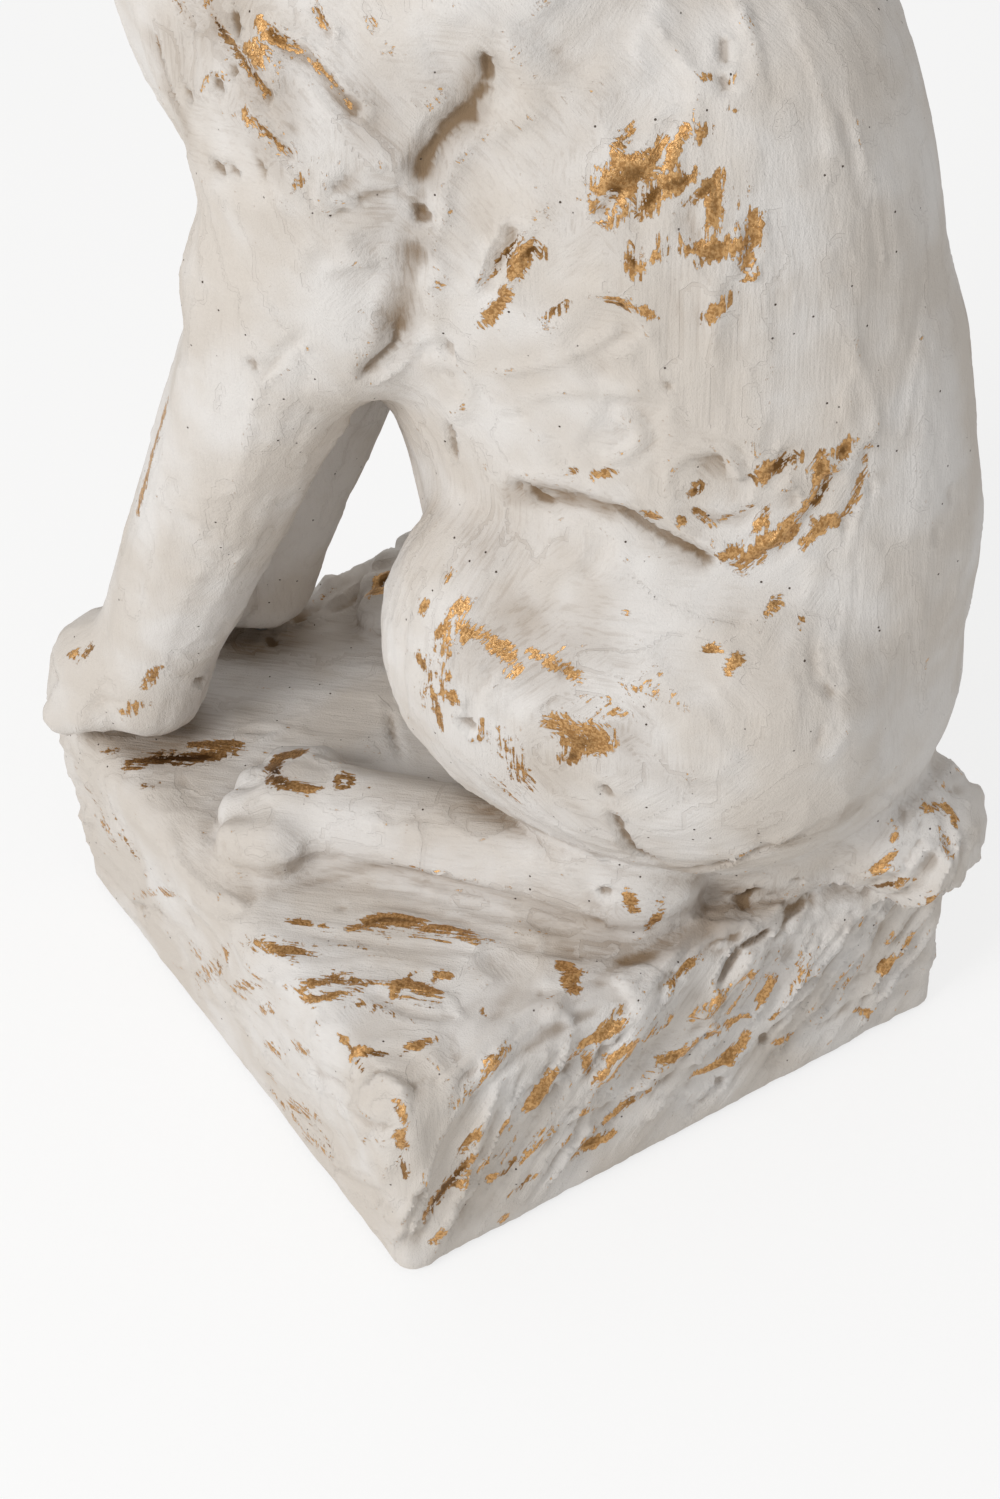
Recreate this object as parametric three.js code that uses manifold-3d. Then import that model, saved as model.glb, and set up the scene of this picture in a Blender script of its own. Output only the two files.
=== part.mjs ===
// Seated hare on a square plinth: a large painted figure in cold-cast resin, made as separate castings.
// Millimetres, +Z up. The hare faces -Y and its left side is +X. The origin is the middle of the underside.
import * as THREE from "three";
import { mergeVertices } from "three/addons/utils/BufferGeometryUtils.js";
import Module from "manifold-3d";

const wasm = await Module();
wasm.setup();

// Fits and walls
const FIT = 0.3; // gap between two pieces that touch
const WALL = 11; // least wall of the hollow castings

// Plinth: a hollow box with a hand-modelled outside, turned so that one corner lies under the forepaws
const PLINTH_LONG = 209;
const PLINTH_SHORT = 200;
const PLINTH_TOP = 78; // height of its top face above the ground
const PLINTH_TURN = 45; // degrees about the upright axis
const PLINTH_SWELL = 2.5; // how far the sides stand out at their fullest height
const PLINTH_FLARE = 9; // how far the top leans out on the side of the right forepaw
const PLINTH_CORNER = 5; // radius of the upright edges at the foot
const PLINTH_CORNER_TOP = 13;
const PLINTH_RIM = 10; // radius of the rolled top edge
const PLINTH_WALL = 11;
const PLINTH_DECK = 13; // thickness of the top
const BOSS = 22; // side of the square screw bosses in the corners

// Closing board, screws, plug and felt under the plinth
const FELT_THICK = 2;
const FELT_INSET = 4; // from the edge of the plinth
const BOARD_THICK = 6;
const SCREW_SHANK = 4;
const SCREW_HEAD = 8;
const SCREW_SINK = 2.6; // height of the countersunk head
const SCREW_LENGTH = 20;
const PLUG_BORE = 28;
const PLUG_FLANGE = 36;
const PLUG_FLANGE_THICK = 1.4;
const PLUG_AT = [46, 34]; // from the middle of the board

// Where the hare sits on the plinth: turned a little to its right, its rump over the back corner
const FIGURE_AT = [-8, 20];
const FIGURE_TURN = -8; // degrees

// Masses of the figure, in its own frame: x to its left, y to its back, z up from the plinth's top.
// A mass is an egg, with a middle, three half sizes and a nod about the x axis in degrees,
// or a limb, a tapering round bar between two balls.
const RUMP = { at: [0, 61, 64], half: [62, 63, 70] };
const LOIN = { at: [0, 41, 134], half: [60, 83, 104] };
const RIBS = { at: [0, 8, 205], half: [58, 87, 80] };
const WITHERS = { at: [0, 35, 232], half: [56, 69, 68], nod: 10 };
const CHEST = { at: [0, -46, 240], half: [50, 58, 52] };
const RUFF = { at: [0, -70, 270], half: [42, 50, 60], nod: -6 };
const NECK = { from: [0, -8, 284], to: [0, -48, 338], radii: [57, 45] };
const SKULL = { at: [0, -72, 368], half: [38, 50, 41], nod: 16 };
const MUZZLE = { from: [0, -98, 356], to: [0, -119, 345], radii: [33, 28] };
const CHEEK = { at: [21, -84, 346], half: [22, 32, 27] };
const BROW = { at: [25, -90, 380], half: [13, 22, 10] };
const SEAT = { at: [0, 42, 8], half: [50, 66, 36] };
const HAUNCH = { at: [44, 38, 76], half: [36, 74, 60], nod: -8 };
const KNEE = { at: [46, -2, 84], half: [30, 30, 46], nod: 6 };
const SHOULDER = { at: [40, -44, 232], half: [27, 38, 54], nod: -8 };
const ELBOW = { at: [42, -46, 192], half: [23, 26, 32], nod: 20 };
const FOREARM = { from: [38, -64, 172], to: [30, -121, 42], radii: [27, 19] };
const PAW = { from: [29, -128, 23], to: [28, -147, 17], radii: [20, 18] };
const BLEND = 16; // how far one mass of the body runs into the next
const LIMB_BLEND = 10;
const HEAD_BLEND = 14;
const FAR_PAW_BACK = 12; // the right forepaw stands this much behind the left
const FAR_KNEE_BACK = 9; // and so does the right knee

const EYE_SOCKET = { at: [46, -97, 367], half: [10, 13, 10] };

// Ears: a tapering blade, dished in front
const EAR_ROOT = [17, -54, 394];
const EAR_LENGTH = 168; // from the root to the tip
const EAR_RUN = [0.125, 0.31, 0.94]; // the way that it points: a little outward and back
const EAR_WIDE = 27; // half width at the fullest
const EAR_THICK = 14;
const EAR_DISH = 14; // how far the middle of the blade stands behind its edges
const EAR_SUNK = 16; // length of the ear's root below its seat
const EAR_NARROW = 0.42; // width at the root, as a share of the fullest
const EAR_FULLEST = 0.78; // share of the height at which it is widest
const EAR_THINNING = 0.45; // share of its thickness that the blade has lost at the tip
const EAR_TIP = 5; // how late the edges turn in to the tip: the power of the height
const EAR_STATIONS = 10;
const EAR_SIDES = 14;

// Hind feet and tail
const FOOT_HEEL = { at: [52, 34, 10], half: [19, 30, 21] };
const FOOT_SOLE = { from: [51, 30, 8], to: [56, -62, 7], radii: [18, 16] };
const TOE = { long: 17, radius: 7.5, thicker: 2, spread: 11, count: 4 };
const TOE_STEP = 4; // how far each toe stands back, for each place that it is off the middle of the row
const TOE_LINE = [57, -74, 6]; // middle of the row of toes
const TOE_SUNK = [0, 8, 2]; // where a toe starts, from its place in the row
const FOOT_BLEND = 7;
const TOE_BLEND = 2.5;
const TAIL = { at: [9, 113, 13], half: [25, 25, 23] };

// Where the castings part
const NECK_SEAM = [0, -38, 314]; // middle of the cut through the neck
const NECK_NOD = 8; // degrees that the cut leans forward
const LEG_SEAM = 34; // how far down the forearm its cut lies
const LEG_SPACE_WIDE = 78; // from the middle of the figure out past the foreleg
const LEG_SPACE_DEEP = 30; // before and behind the forearm's axis

// Inside: sleeve in the neck, steel dowels in the limbs, and a timber block bolted to the plinth
const SLEEVE_RADIUS = 22;
const SLEEVE_WALL = 4;
const SLEEVE_LENGTH = 46;
const HEAD_HOLLOW = { at: [0, -78, 352], half: [20, 30, 20] };
const DOWEL = 3; // radius of the dowels in the legs, feet and tail
const DOWEL_DEPTH = 22; // how far a dowel runs into the body, the leg or the tail
const FOOT_DOWEL_DEPTH = 12;
const FOOT_DOWEL_AT = 0.55; // share of the sole's length, from the heel
const TAIL_DOWEL_AT = [0, 4, 6]; // the tail dowel's end in the tail, from the tail's middle
const TAIL_DOWEL_RISE = 8; // how much higher its end in the rump lies
const RUMP_DOWEL_DEPTH = 13;
const DECK_DOWEL_DEPTH = 9; // how far the paws' and feet's dowels run into the plinth
const EAR_DOWEL = 2.5; // radius
const EAR_DOWEL_HALF = 15;
const BLOCK_HALF = [26, 28];
const BLOCK_THICK = 28;
const BLOCK_Y = 42;
const STUD_RADIUS = 4;
const STUD_SPACING = 26;
const STUD_IN_BLOCK = 22;
const STUD_BELOW_NUT = 4;
const WASHER_RADIUS = 10;
const WASHER_THICK = 2;
const NUT_FLATS = 13;
const NUT_THICK = 7;

// Grid steps of the skins: the smaller, the finer the facets
const BODY_STEP = 14;
const HOLLOW_STEP = 24;
const HEAD_STEP = 9;
const LEG_STEP = 11;
const FOOT_STEP = 8.5;
const TAIL_STEP = 9;
const ROUND_SIDES = 12; // sides of a dowel, a screw or a washer

const rad = THREE.MathUtils.degToRad;
const V = (p) => new THREE.Vector3(...p);
const mirrored = (p, side) => [p[0] * side, p[1], p[2]];
const mix = (a, b, t) => a.map((v, i) => v + (b[i] - v) * t);

// Masses as signed distances, negative inside

function egg(mass, side = 1, grow = 0) {
  const [cx, cy, cz] = mirrored(mass.at, side);
  const [rx, ry, rz] = mass.half.map((r) => r + grow);
  const c = Math.cos(rad(mass.nod ?? 0));
  const s = Math.sin(rad(mass.nod ?? 0));
  return (x, y, z) => {
    const dx = x - cx;
    const dy = c * (y - cy) + s * (z - cz);
    const dz = c * (z - cz) - s * (y - cy);
    const near = Math.hypot(dx / rx, dy / ry, dz / rz);
    const slope = Math.hypot(dx / (rx * rx), dy / (ry * ry), dz / (rz * rz));
    return slope < 1e-9 ? -Math.min(rx, ry, rz) : (near * (near - 1)) / slope;
  };
}

function limb(mass, side = 1, shift = 0) {
  const a = mirrored(mass.from, side);
  const b = mirrored(mass.to, side);
  b[1] += shift;
  const axis = b.map((v, i) => v - a[i]);
  const length2 = axis.reduce((sum, v) => sum + v * v, 0);
  const [ra, rb] = mass.radii;
  return (x, y, z) => {
    const along = ((x - a[0]) * axis[0] + (y - a[1]) * axis[1] + (z - a[2]) * axis[2]) / length2;
    const t = Math.min(1, Math.max(0, along));
    const off = Math.hypot(x - a[0] - axis[0] * t, y - a[1] - axis[1] * t, z - a[2] - axis[2] * t);
    return off - ra - (rb - ra) * t;
  };
}

// Joins masses with a fillet: k is how far from their meeting line the fillet starts.
function blend(k, ...fields) {
  return (x, y, z) => {
    let d = fields[0](x, y, z);
    for (let i = 1; i < fields.length; i++) {
      const e = fields[i](x, y, z);
      const h = Math.max(0, k - Math.abs(d - e)) / k;
      d = Math.min(d, e) - (h * h * k) / 4;
    }
    return d;
  };
}

// Takes the second mass out of the first, with a soft edge.
function carve(k, field, tool) {
  const cut = blend(k, (x, y, z) => -field(x, y, z), tool);
  return (x, y, z) => -cut(x, y, z);
}

// The twelve edges of a grid cell, each from one corner along one axis, and the six faces by their edges.
// A corner is a number from 0 to 7, with one bit for each axis.
const BITS = [1, 2, 4];
const CORNERS = [0, 1, 2, 3, 4, 5, 6, 7];
const CELL_EDGES = BITS.flatMap((bit, axis) => CORNERS.filter((c) => !(c & bit)).map((c) => [c, axis]));
const edgeAt = (corner, axis) => CELL_EDGES.findIndex(([c, a]) => c === corner && a === axis);
const CELL_FACES = BITS.flatMap((bit, m) =>
  [0, bit].map((side) => {
    const [u, v] = [BITS[(m + 1) % 3], BITS[(m + 2) % 3]];
    const corners = [side, side | u, side | u | v, side | v];
    const [um, vm] = [(m + 1) % 3, (m + 2) % 3];
    const ring = [edgeAt(side, um), edgeAt(side | u, vm), edgeAt(side | v, um), edgeAt(side, vm)];
    return { corners, ring };
  }),
);
const QUAD = [0, 1, 2, 3].map((q) => [q === 1 || q === 2, q === 2 || q === 3]);
const QUAD_EDGES = BITS.map((bit, m) =>
  QUAD.map(([du, dv]) => edgeAt((du ? BITS[(m + 1) % 3] : 0) | (dv ? BITS[(m + 2) % 3] : 0), m)),
);

// Groups the crossed edges of a cell into the separate sheets of surface that pass through it.
function sheets(inside) {
  const group = CELL_EDGES.map(([c, axis], i) => (inside[c] === inside[c | BITS[axis]] ? -1 : i));
  const join = (a, b) => {
    const [from, to] = [group[a], group[b]];
    for (let i = 0; i < 12; i++) if (group[i] === from) group[i] = to;
  };
  for (const { corners, ring } of CELL_FACES) {
    const crossed = ring.filter((e) => group[e] >= 0);
    if (crossed.length === 2) join(...crossed);
    if (crossed.length === 4) {
      const first = inside[corners[0]] ? 0 : 1;
      join(ring[first], ring[(first + 3) % 4]);
      join(ring[(first + 1) % 4], ring[(first + 2) % 4]);
    }
  }
  return group;
}

// Closed skin of a mass inside a box: one point for each sheet of surface in a grid cell, slid on to the
// surface, and one quad for each grid edge that the surface crosses.
function skin(field, low, high, step) {
  const n = low.map((v, i) => Math.ceil((high[i] - v) / step) + 2);
  const strides = [1, n[0], n[0] * n[1]];
  const value = new Float64Array(n[0] * n[1] * n[2]);
  const everyCell = (short, visit) => {
    for (let k = 0; k < n[2] - short; k++)
      for (let j = 0; j < n[1] - short; j++) for (let i = 0; i < n[0] - short; i++) visit([i, j, k]);
  };
  const idOf = (g) => g[0] + g[1] * strides[1] + g[2] * strides[2];
  const placed = (g) => g.map((v, m) => low[m] + (v - 0.5) * step);
  everyCell(0, (g) => {
    const rim = g.some((v, m) => v === 0 || v === n[m] - 1);
    value[idOf(g)] = rim ? step : field(...placed(g));
  });
  const points = [];
  const pointOf = new Map();
  everyCell(1, (g) => {
    const here = idOf(g);
    const reading = Array.from({ length: 8 }, (_, c) =>
      value[here + (c & 1) + ((c >> 1) & 1) * strides[1] + (c >> 2) * strides[2]],
    );
    const inside = reading.map((d) => d < 0);
    if (inside.every((d) => d === inside[0])) return;
    const group = sheets(inside);
    const index = new Int32Array(12);
    for (const sheet of new Set(group.filter((s) => s >= 0))) {
      const sum = [0, 0, 0];
      let hits = 0;
      group.forEach((s, e) => {
        if (s !== sheet) return;
        const [c, axis] = CELL_EDGES[e];
        const t = reading[c] / (reading[c] - reading[c | BITS[axis]]);
        for (let m = 0; m < 3; m++) sum[m] += (c & BITS[m] ? 1 : 0) + (m === axis ? t : 0);
        index[e] = points.length;
        hits++;
      });
      points.push(settled(field, placed(g).map((v, m) => v + (sum[m] / hits) * step), step));
    }
    pointOf.set(here, index);
  });
  const triangles = [];
  everyCell(1, (g) => {
    const here = idOf(g);
    const inside = value[here] < 0;
    for (let m = 0; m < 3; m++) {
      if (inside === value[here + strides[m]] < 0) continue;
      const [u, v] = [strides[(m + 1) % 3], strides[(m + 2) % 3]];
      const cells = QUAD.map(([du, dv]) => here - (du ? u : 0) - (dv ? v : 0));
      const ring = cells.map((cell, q) => pointOf.get(cell)[QUAD_EDGES[m][q]]);
      if (!inside) ring.reverse();
      const across = (a, b) => Math.hypot(...points[ring[a]].map((w, q) => w - points[ring[b]][q]));
      const split = across(0, 2) <= across(1, 3) ? [0, 1, 2, 0, 2, 3] : [1, 2, 3, 1, 3, 0];
      triangles.push(...split.map((q) => ring[q]));
    }
  });
  return { points, triangles };
}

// One step along the slope of the field, no further than a third of a cell.
function settled(field, p, step) {
  const e = step / 20;
  const slope = [0, 1, 2].map((m) => {
    const a = [...p];
    const b = [...p];
    a[m] += e;
    b[m] -= e;
    return (field(...a) - field(...b)) / (2 * e);
  });
  const steep = slope.reduce((s, v) => s + v * v, 0);
  if (steep < 1e-6) return p;
  const limit = step / 3;
  const move = Math.max(-limit, Math.min(limit, -field(...p) / Math.sqrt(steep)));
  return p.map((v, m) => v + (slope[m] / Math.sqrt(steep)) * move);
}

// Solids

const solid = ({ points, triangles }) =>
  new wasm.Manifold(
    new wasm.Mesh({
      numProp: 3,
      vertProperties: new Float32Array(points.flat()),
      triVerts: new Uint32Array(triangles),
    }),
  );

function solidOf(geometry, matrix = new THREE.Matrix4()) {
  const g = geometry.clone();
  g.deleteAttribute("normal");
  g.deleteAttribute("uv");
  g.applyMatrix4(matrix);
  const merged = mergeVertices(g, 1e-4);
  return new wasm.Manifold(
    new wasm.Mesh({
      numProp: 3,
      vertProperties: merged.attributes.position.array,
      triVerts: new Uint32Array(merged.index.array),
    }),
  );
}

// The same skin with each point moved out along its normal, for the seat that another piece has round it.
function grown({ points, triangles }, distance) {
  const normals = points.map(() => new THREE.Vector3());
  for (let i = 0; i < triangles.length; i += 3) {
    const [a, b, c] = [0, 1, 2].map((q) => V(points[triangles[i + q]]));
    const face = b.sub(a).cross(c.sub(a));
    for (let q = 0; q < 3; q++) normals[triangles[i + q]].add(face);
  }
  const moved = points.map((p, i) => V(p).addScaledVector(normals[i].normalize(), distance).toArray());
  return { points: moved, triangles };
}

// Joins rings of points into one closed solid. The rings run anticlockwise seen from the last one.
function loft(rings) {
  const around = rings[0].length;
  const points = rings.flat();
  const triangles = [];
  for (let k = 0; k + 1 < rings.length; k++)
    for (let i = 0; i < around; i++) {
      const j = (i + 1) % around;
      const [a, b, c, d] = [k * around + i, k * around + j, (k + 1) * around + j, (k + 1) * around + i];
      triangles.push(a, b, c, a, c, d);
    }
  const middle = (ring) => [0, 1, 2].map((m) => ring.reduce((sum, p) => sum + p[m], 0) / around);
  points.push(middle(rings[0]), middle(rings[rings.length - 1]));
  const last = (rings.length - 1) * around;
  for (let i = 0; i < around; i++) {
    const j = (i + 1) % around;
    triangles.push(points.length - 2, j, i, points.length - 1, last + i, last + j);
  }
  return solid({ points, triangles });
}

function geometryOf(made) {
  const mesh = made.getMesh();
  return new THREE.BufferGeometry()
    .setAttribute("position", new THREE.BufferAttribute(mesh.vertProperties.slice(), 3))
    .setIndex(new THREE.BufferAttribute(mesh.triVerts.slice(), 1));
}

// Turns the z axis on to a direction, and puts the origin at a point.
function along(point, direction) {
  const up = new THREE.Vector3(0, 0, 1);
  const turn = new THREE.Quaternion().setFromUnitVectors(up, V(direction).normalize());
  return new THREE.Matrix4().compose(V(point), turn, new THREE.Vector3(1, 1, 1));
}

const cylinder = (radius, length, sides = ROUND_SIDES) =>
  new THREE.CylinderGeometry(radius, radius, length, sides).rotateX(Math.PI / 2);

// A rod centred on a point, along a direction.
const rod = (radius, length, point, direction) => solidOf(cylinder(radius, length), along(point, direction));

const lathe = (profile, sides = ROUND_SIDES) =>
  new THREE.LatheGeometry(
    profile.map(([r, z]) => new THREE.Vector2(r, z)),
    sides,
  ).rotateX(Math.PI / 2);

// The hare's body, one field from rump to nose

const sides = [1, -1];
const legs = sides.map((side) => {
  const shift = side < 0 ? FAR_PAW_BACK : 0;
  const paw = { ...PAW, from: [PAW.from[0], PAW.from[1] + shift, PAW.from[2]] };
  return blend(LIMB_BLEND, limb(FOREARM, side, shift), limb(paw, side, shift));
});
const knees = sides.map((side) => {
  const [x, y, z] = KNEE.at;
  return egg({ ...KNEE, at: [x, y + (side < 0 ? FAR_KNEE_BACK : 0), z] }, side);
});
const trunk = blend(
  BLEND,
  egg(SEAT),
  egg(RUMP),
  egg(LOIN),
  egg(RIBS),
  egg(WITHERS),
  egg(CHEST),
  egg(RUFF),
  limb(NECK),
  ...sides.flatMap((side) => [egg(SHOULDER, side)]),
);
const headMass = blend(
  HEAD_BLEND,
  egg(SKULL),
  limb(MUZZLE),
  ...sides.flatMap((side) => [egg(CHEEK, side), egg(BROW, side)]),
);
const head = sides.reduce((field, side) => carve(4, field, egg(EYE_SOCKET, side)), headMass);
const body = blend(
  LIMB_BLEND,
  blend(BLEND, trunk, head),
  ...sides.flatMap((side) => [egg(HAUNCH, side), egg(ELBOW, side)]),
  ...knees,
  ...legs,
);

// Ears, feet and tail

// A cupped blade: sections across the ear's axis, each a bent lens, from the sunk root to the tip.
function ear(side) {
  const root = V(mirrored(EAR_ROOT, side));
  const up = V(mirrored(EAR_RUN, side)).normalize();
  const out = new THREE.Vector3(side, 0.5, 0);
  out.addScaledVector(up, -up.dot(out)).normalize();
  const back = new THREE.Vector3().crossVectors(up, out).multiplyScalar(side);
  const rings = Array.from({ length: EAR_STATIONS }, (_, i) => {
    const share = Math.sin((i / (EAR_STATIONS - 1)) * (Math.PI / 2));
    const height = -EAR_SUNK + (EAR_LENGTH + EAR_SUNK) * share;
    const close = Math.sqrt(1 - 0.97 * share ** EAR_TIP);
    const swell = Math.sin(((Math.PI / 2) * share) / EAR_FULLEST);
    const wide = EAR_WIDE * (EAR_NARROW + (1 - EAR_NARROW) * swell) * close;
    const thick = EAR_THICK * (1 - EAR_THINNING * share) * close;
    const dish = EAR_DISH * Math.sin(Math.PI * 0.85 * share);
    return Array.from({ length: EAR_SIDES }, (_, j) => {
      const turn = ((j * side) / EAR_SIDES) * Math.PI * 2;
      const u = Math.cos(turn);
      const rise = dish * (1 - u * u) - dish / 2 + (thick / 2) * Math.sin(turn);
      const onAxis = root.clone().addScaledVector(up, height);
      return onAxis.addScaledVector(out, wide * u).addScaledVector(back, rise).toArray();
    });
  });
  return loft(rings);
}

function foot(side) {
  const shift = TOE.count / 2 - 0.5;
  const toes = Array.from({ length: TOE.count }, (_, i) => {
    const x = TOE_LINE[0] + (i - shift) * TOE.spread;
    const reach = TOE.long - Math.abs(i - shift) * TOE_STEP;
    const from = TOE_SUNK.map((v, m) => v + [x, TOE_LINE[1], TOE_LINE[2]][m]);
    const to = [x, TOE_LINE[1] - reach + TOE.radius, TOE_LINE[2]];
    return limb({ from, to, radii: [TOE.radius + TOE.thicker, TOE.radius] }, side);
  });
  return blend(FOOT_BLEND, egg(FOOT_HEEL, side), limb(FOOT_SOLE, side), blend(TOE_BLEND, ...toes));
}

// Castings

const FAR = 700; // longer than the figure
// The largest body, without the crumbs that a cut through a fillet can leave.
const largest = (made) => made.decompose().reduce((a, b) => (b.volume() > a.volume() ? b : a));
const aboveFloor = solidOf(new THREE.BoxGeometry(FAR, FAR, FAR).translate(0, 0, FAR / 2 + FIT));

// A frame whose z axis points along (0, y, z), for the cuts that run straight across the figure.
function across(point, y, z) {
  const up = new THREE.Vector3(0, y, z).normalize();
  const left = new THREE.Vector3(1, 0, 0);
  return new THREE.Matrix4().makeBasis(left, up.clone().cross(left), up).setPosition(...point);
}

// The middle of a foreleg's cut, and the way that its forearm runs from there.
function legAxis(side) {
  const top = mirrored(FOREARM.from, side);
  const bottom = mirrored(FOREARM.to, side);
  if (side < 0) bottom[1] += FAR_PAW_BACK;
  const down = V(bottom).sub(V(top)).normalize();
  return { seam: V(top).addScaledVector(down, LEG_SEAM).toArray(), down: down.toArray() };
}

// The space of a foreleg below its cut, or with a grow the notch that takes it.
function legSpace(side, grow) {
  const { seam, down } = legAxis(side);
  const deep = (LEG_SPACE_DEEP + grow) * 2;
  const wide = LEG_SPACE_WIDE + grow * 2;
  const middle = [side * (LEG_SPACE_WIDE / 2 + FIT), 0, FAR / 4 + FIT - grow];
  const cut = across([0, seam[1], seam[2]], down[1], down[2]);
  return solidOf(new THREE.BoxGeometry(wide, deep, FAR / 2).translate(...middle), cut);
}

const neckFrame = across(NECK_SEAM, -Math.sin(rad(NECK_NOD)), Math.cos(rad(NECK_NOD)));
const aboveNeck = (gap) =>
  solidOf(new THREE.BoxGeometry(FAR, FAR, FAR).translate(0, 0, FAR / 2 + gap), neckFrame);

// The box that some masses and their mirror images fill, with room for the fillets between them.
function roomOf(masses) {
  const balls = masses.flatMap((m) =>
    m.half ? [[m.at, m.half]] : [m.from, m.to].map((p, i) => [p, [m.radii[i], m.radii[i], m.radii[i]]]),
  );
  const high = [0, 1, 2].map((k) => Math.max(...balls.map(([p, r]) => p[k] + r[k])) + BLEND);
  const low = [0, 1, 2].map((k) => Math.min(...balls.map(([p, r]) => p[k] - r[k])) - BLEND);
  return [[Math.min(low[0], -high[0]), low[1], low[2]], high];
}
const headMasses = [NECK, SKULL, MUZZLE, CHEEK, BROW];
const trunkMasses = [SEAT, RUMP, LOIN, RIBS, WITHERS, CHEST, RUFF];
const bodyMasses = [...trunkMasses, HAUNCH, KNEE, SHOULDER, ELBOW, FOREARM, PAW];
const [bodyLow, bodyHigh] = roomOf(bodyMasses);
const [headLow, headHigh] = roomOf(headMasses);
const [legLow, legHigh] = roomOf([FOREARM, PAW]);
bodyHigh[2] = NECK_SEAM[2] + NECK.radii[0];
headLow[2] = NECK_SEAM[2] - NECK.radii[0] / 2;
const bodySkin = skin(body, bodyLow, bodyHigh, BODY_STEP);
const legSkin = skin(body, legLow, legHigh, LEG_STEP);
const headSkin = skin(body, headLow, headHigh, HEAD_STEP);
const toeRow = { at: TOE_LINE, half: [TOE.spread * 2, TOE.long, TOE.radius] };
const footRoom = roomOf([FOOT_HEEL, FOOT_SOLE, toeRow]);
const footSkins = sides.map((side) => skin(foot(side), ...footRoom, FOOT_STEP));
const tailSkin = skin(egg(TAIL), ...roomOf([TAIL]), TAIL_STEP);
const cylinderRun = (radius, from, to) => {
  const axis = V(to).sub(V(from));
  return rod(radius, axis.length(), V(from).addScaledVector(axis, 0.5).toArray(), axis.toArray());
};

// Dowels: where each one starts and ends, by the piece it holds
const dowels = {};
sides.forEach((side) => {
  const name = side > 0 ? "left" : "right";
  const { seam, down } = legAxis(side);
  const reach = V(down).multiplyScalar(DOWEL_DEPTH);
  dowels[name + "_foreleg_dowel"] = [V(seam).sub(reach).toArray(), V(seam).add(reach).toArray(), DOWEL];
  const paw = [PAW.from[0] * side, PAW.from[1] + (side < 0 ? FAR_PAW_BACK : 0)];
  dowels[name + "_paw_dowel"] = [[...paw, -DECK_DOWEL_DEPTH], [...paw, DOWEL_DEPTH], DOWEL];
  const sole = mix(FOOT_SOLE.from, FOOT_SOLE.to, FOOT_DOWEL_AT);
  const at = [sole[0] * side, sole[1]];
  dowels[name + "_foot_dowel"] = [[...at, -DECK_DOWEL_DEPTH], [...at, FOOT_DOWEL_DEPTH], DOWEL];
  const root = V(mirrored(EAR_ROOT, side));
  const up = V(mirrored(EAR_RUN, side)).normalize().multiplyScalar(EAR_DOWEL_HALF);
  dowels[name + "_ear_dowel"] = [root.clone().sub(up).toArray(), root.clone().add(up).toArray(), EAR_DOWEL];
});
const tailEnd = TAIL.at.map((v, i) => v + TAIL_DOWEL_AT[i]);
const rumpEnd = [tailEnd[0], TAIL.at[1] - TAIL.half[1] - RUMP_DOWEL_DEPTH, tailEnd[2] + TAIL_DOWEL_RISE];
dowels.tail_dowel = [tailEnd, rumpEnd, DOWEL];

function dowelHole([from, to, radius]) {
  const out = V(to).sub(V(from)).normalize().multiplyScalar(FIT);
  return cylinderRun(radius + FIT, V(from).sub(out).toArray(), V(to).add(out).toArray());
}
const dowelHoles = Object.values(dowels).map(dowelHole);
const drilled = (piece, holes = dowelHoles) => holes.reduce((p, hole) => p.subtract(hole), piece);

// Sleeve in the neck
const sleeveBore = solidOf(cylinder(SLEEVE_RADIUS + FIT, SLEEVE_LENGTH + FIT * 2, 24), neckFrame);
const inner = SLEEVE_RADIUS - SLEEVE_WALL;
const passage = solidOf(cylinder(inner, SLEEVE_LENGTH * 2.4, 24), neckFrame);
const neckSleeve = lathe(
  [
    [inner, -SLEEVE_LENGTH / 2],
    [SLEEVE_RADIUS, -SLEEVE_LENGTH / 2],
    [SLEEVE_RADIUS, SLEEVE_LENGTH / 2],
    [inner, SLEEVE_LENGTH / 2],
    [inner, -SLEEVE_LENGTH / 2],
  ],
  24,
);

// Timber block in the foot of the body
const oval = (grow) => {
  const shape = new THREE.Shape();
  shape.absellipse(0, 0, BLOCK_HALF[0] + grow, BLOCK_HALF[1] + grow, 0, Math.PI * 2);
  return shape;
};
const blockSocket = new THREE.ExtrudeGeometry(oval(FIT), {
  depth: BLOCK_THICK + FIT * 2 + WALL,
  bevelEnabled: false,
  curveSegments: 14,
}).translate(0, BLOCK_Y, -WALL);
const studsAt = sides.map((side) => [(side * STUD_SPACING) / 2, BLOCK_Y]);
const studBottom = -PLINTH_DECK - FIT * 2 - WASHER_THICK - NUT_THICK - STUD_BELOW_NUT;
const studRuns = studsAt.map((at) => [
  [...at, studBottom],
  [...at, STUD_IN_BLOCK],
  STUD_RADIUS,
]);
const anchorBlock = drilled(
  solidOf(
    new THREE.ExtrudeGeometry(oval(0), { depth: BLOCK_THICK - FIT, bevelEnabled: false, curveSegments: 14 }),
    new THREE.Matrix4().makeTranslation(0, BLOCK_Y, FIT),
  ),
  studRuns.map(dowelHole),
);

// Hollow of the body
const shrunk = (mass) => egg(mass, 1, -WALL);
const hollowMasses = [RUMP, LOIN, RIBS, WITHERS, CHEST];
const aboveBlock = solidOf(new THREE.BoxGeometry(FAR, FAR, FAR).translate(0, 0, FAR / 2 + BLOCK_THICK));
const hollow = solid(
  skin(blend(BLEND, ...hollowMasses.map(shrunk)), ...roomOf(hollowMasses), HOLLOW_STEP),
).intersect(aboveBlock);
const headHollow = solid(skin(egg(HEAD_HOLLOW), ...roomOf([HEAD_HOLLOW]), HEAD_STEP));

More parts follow.
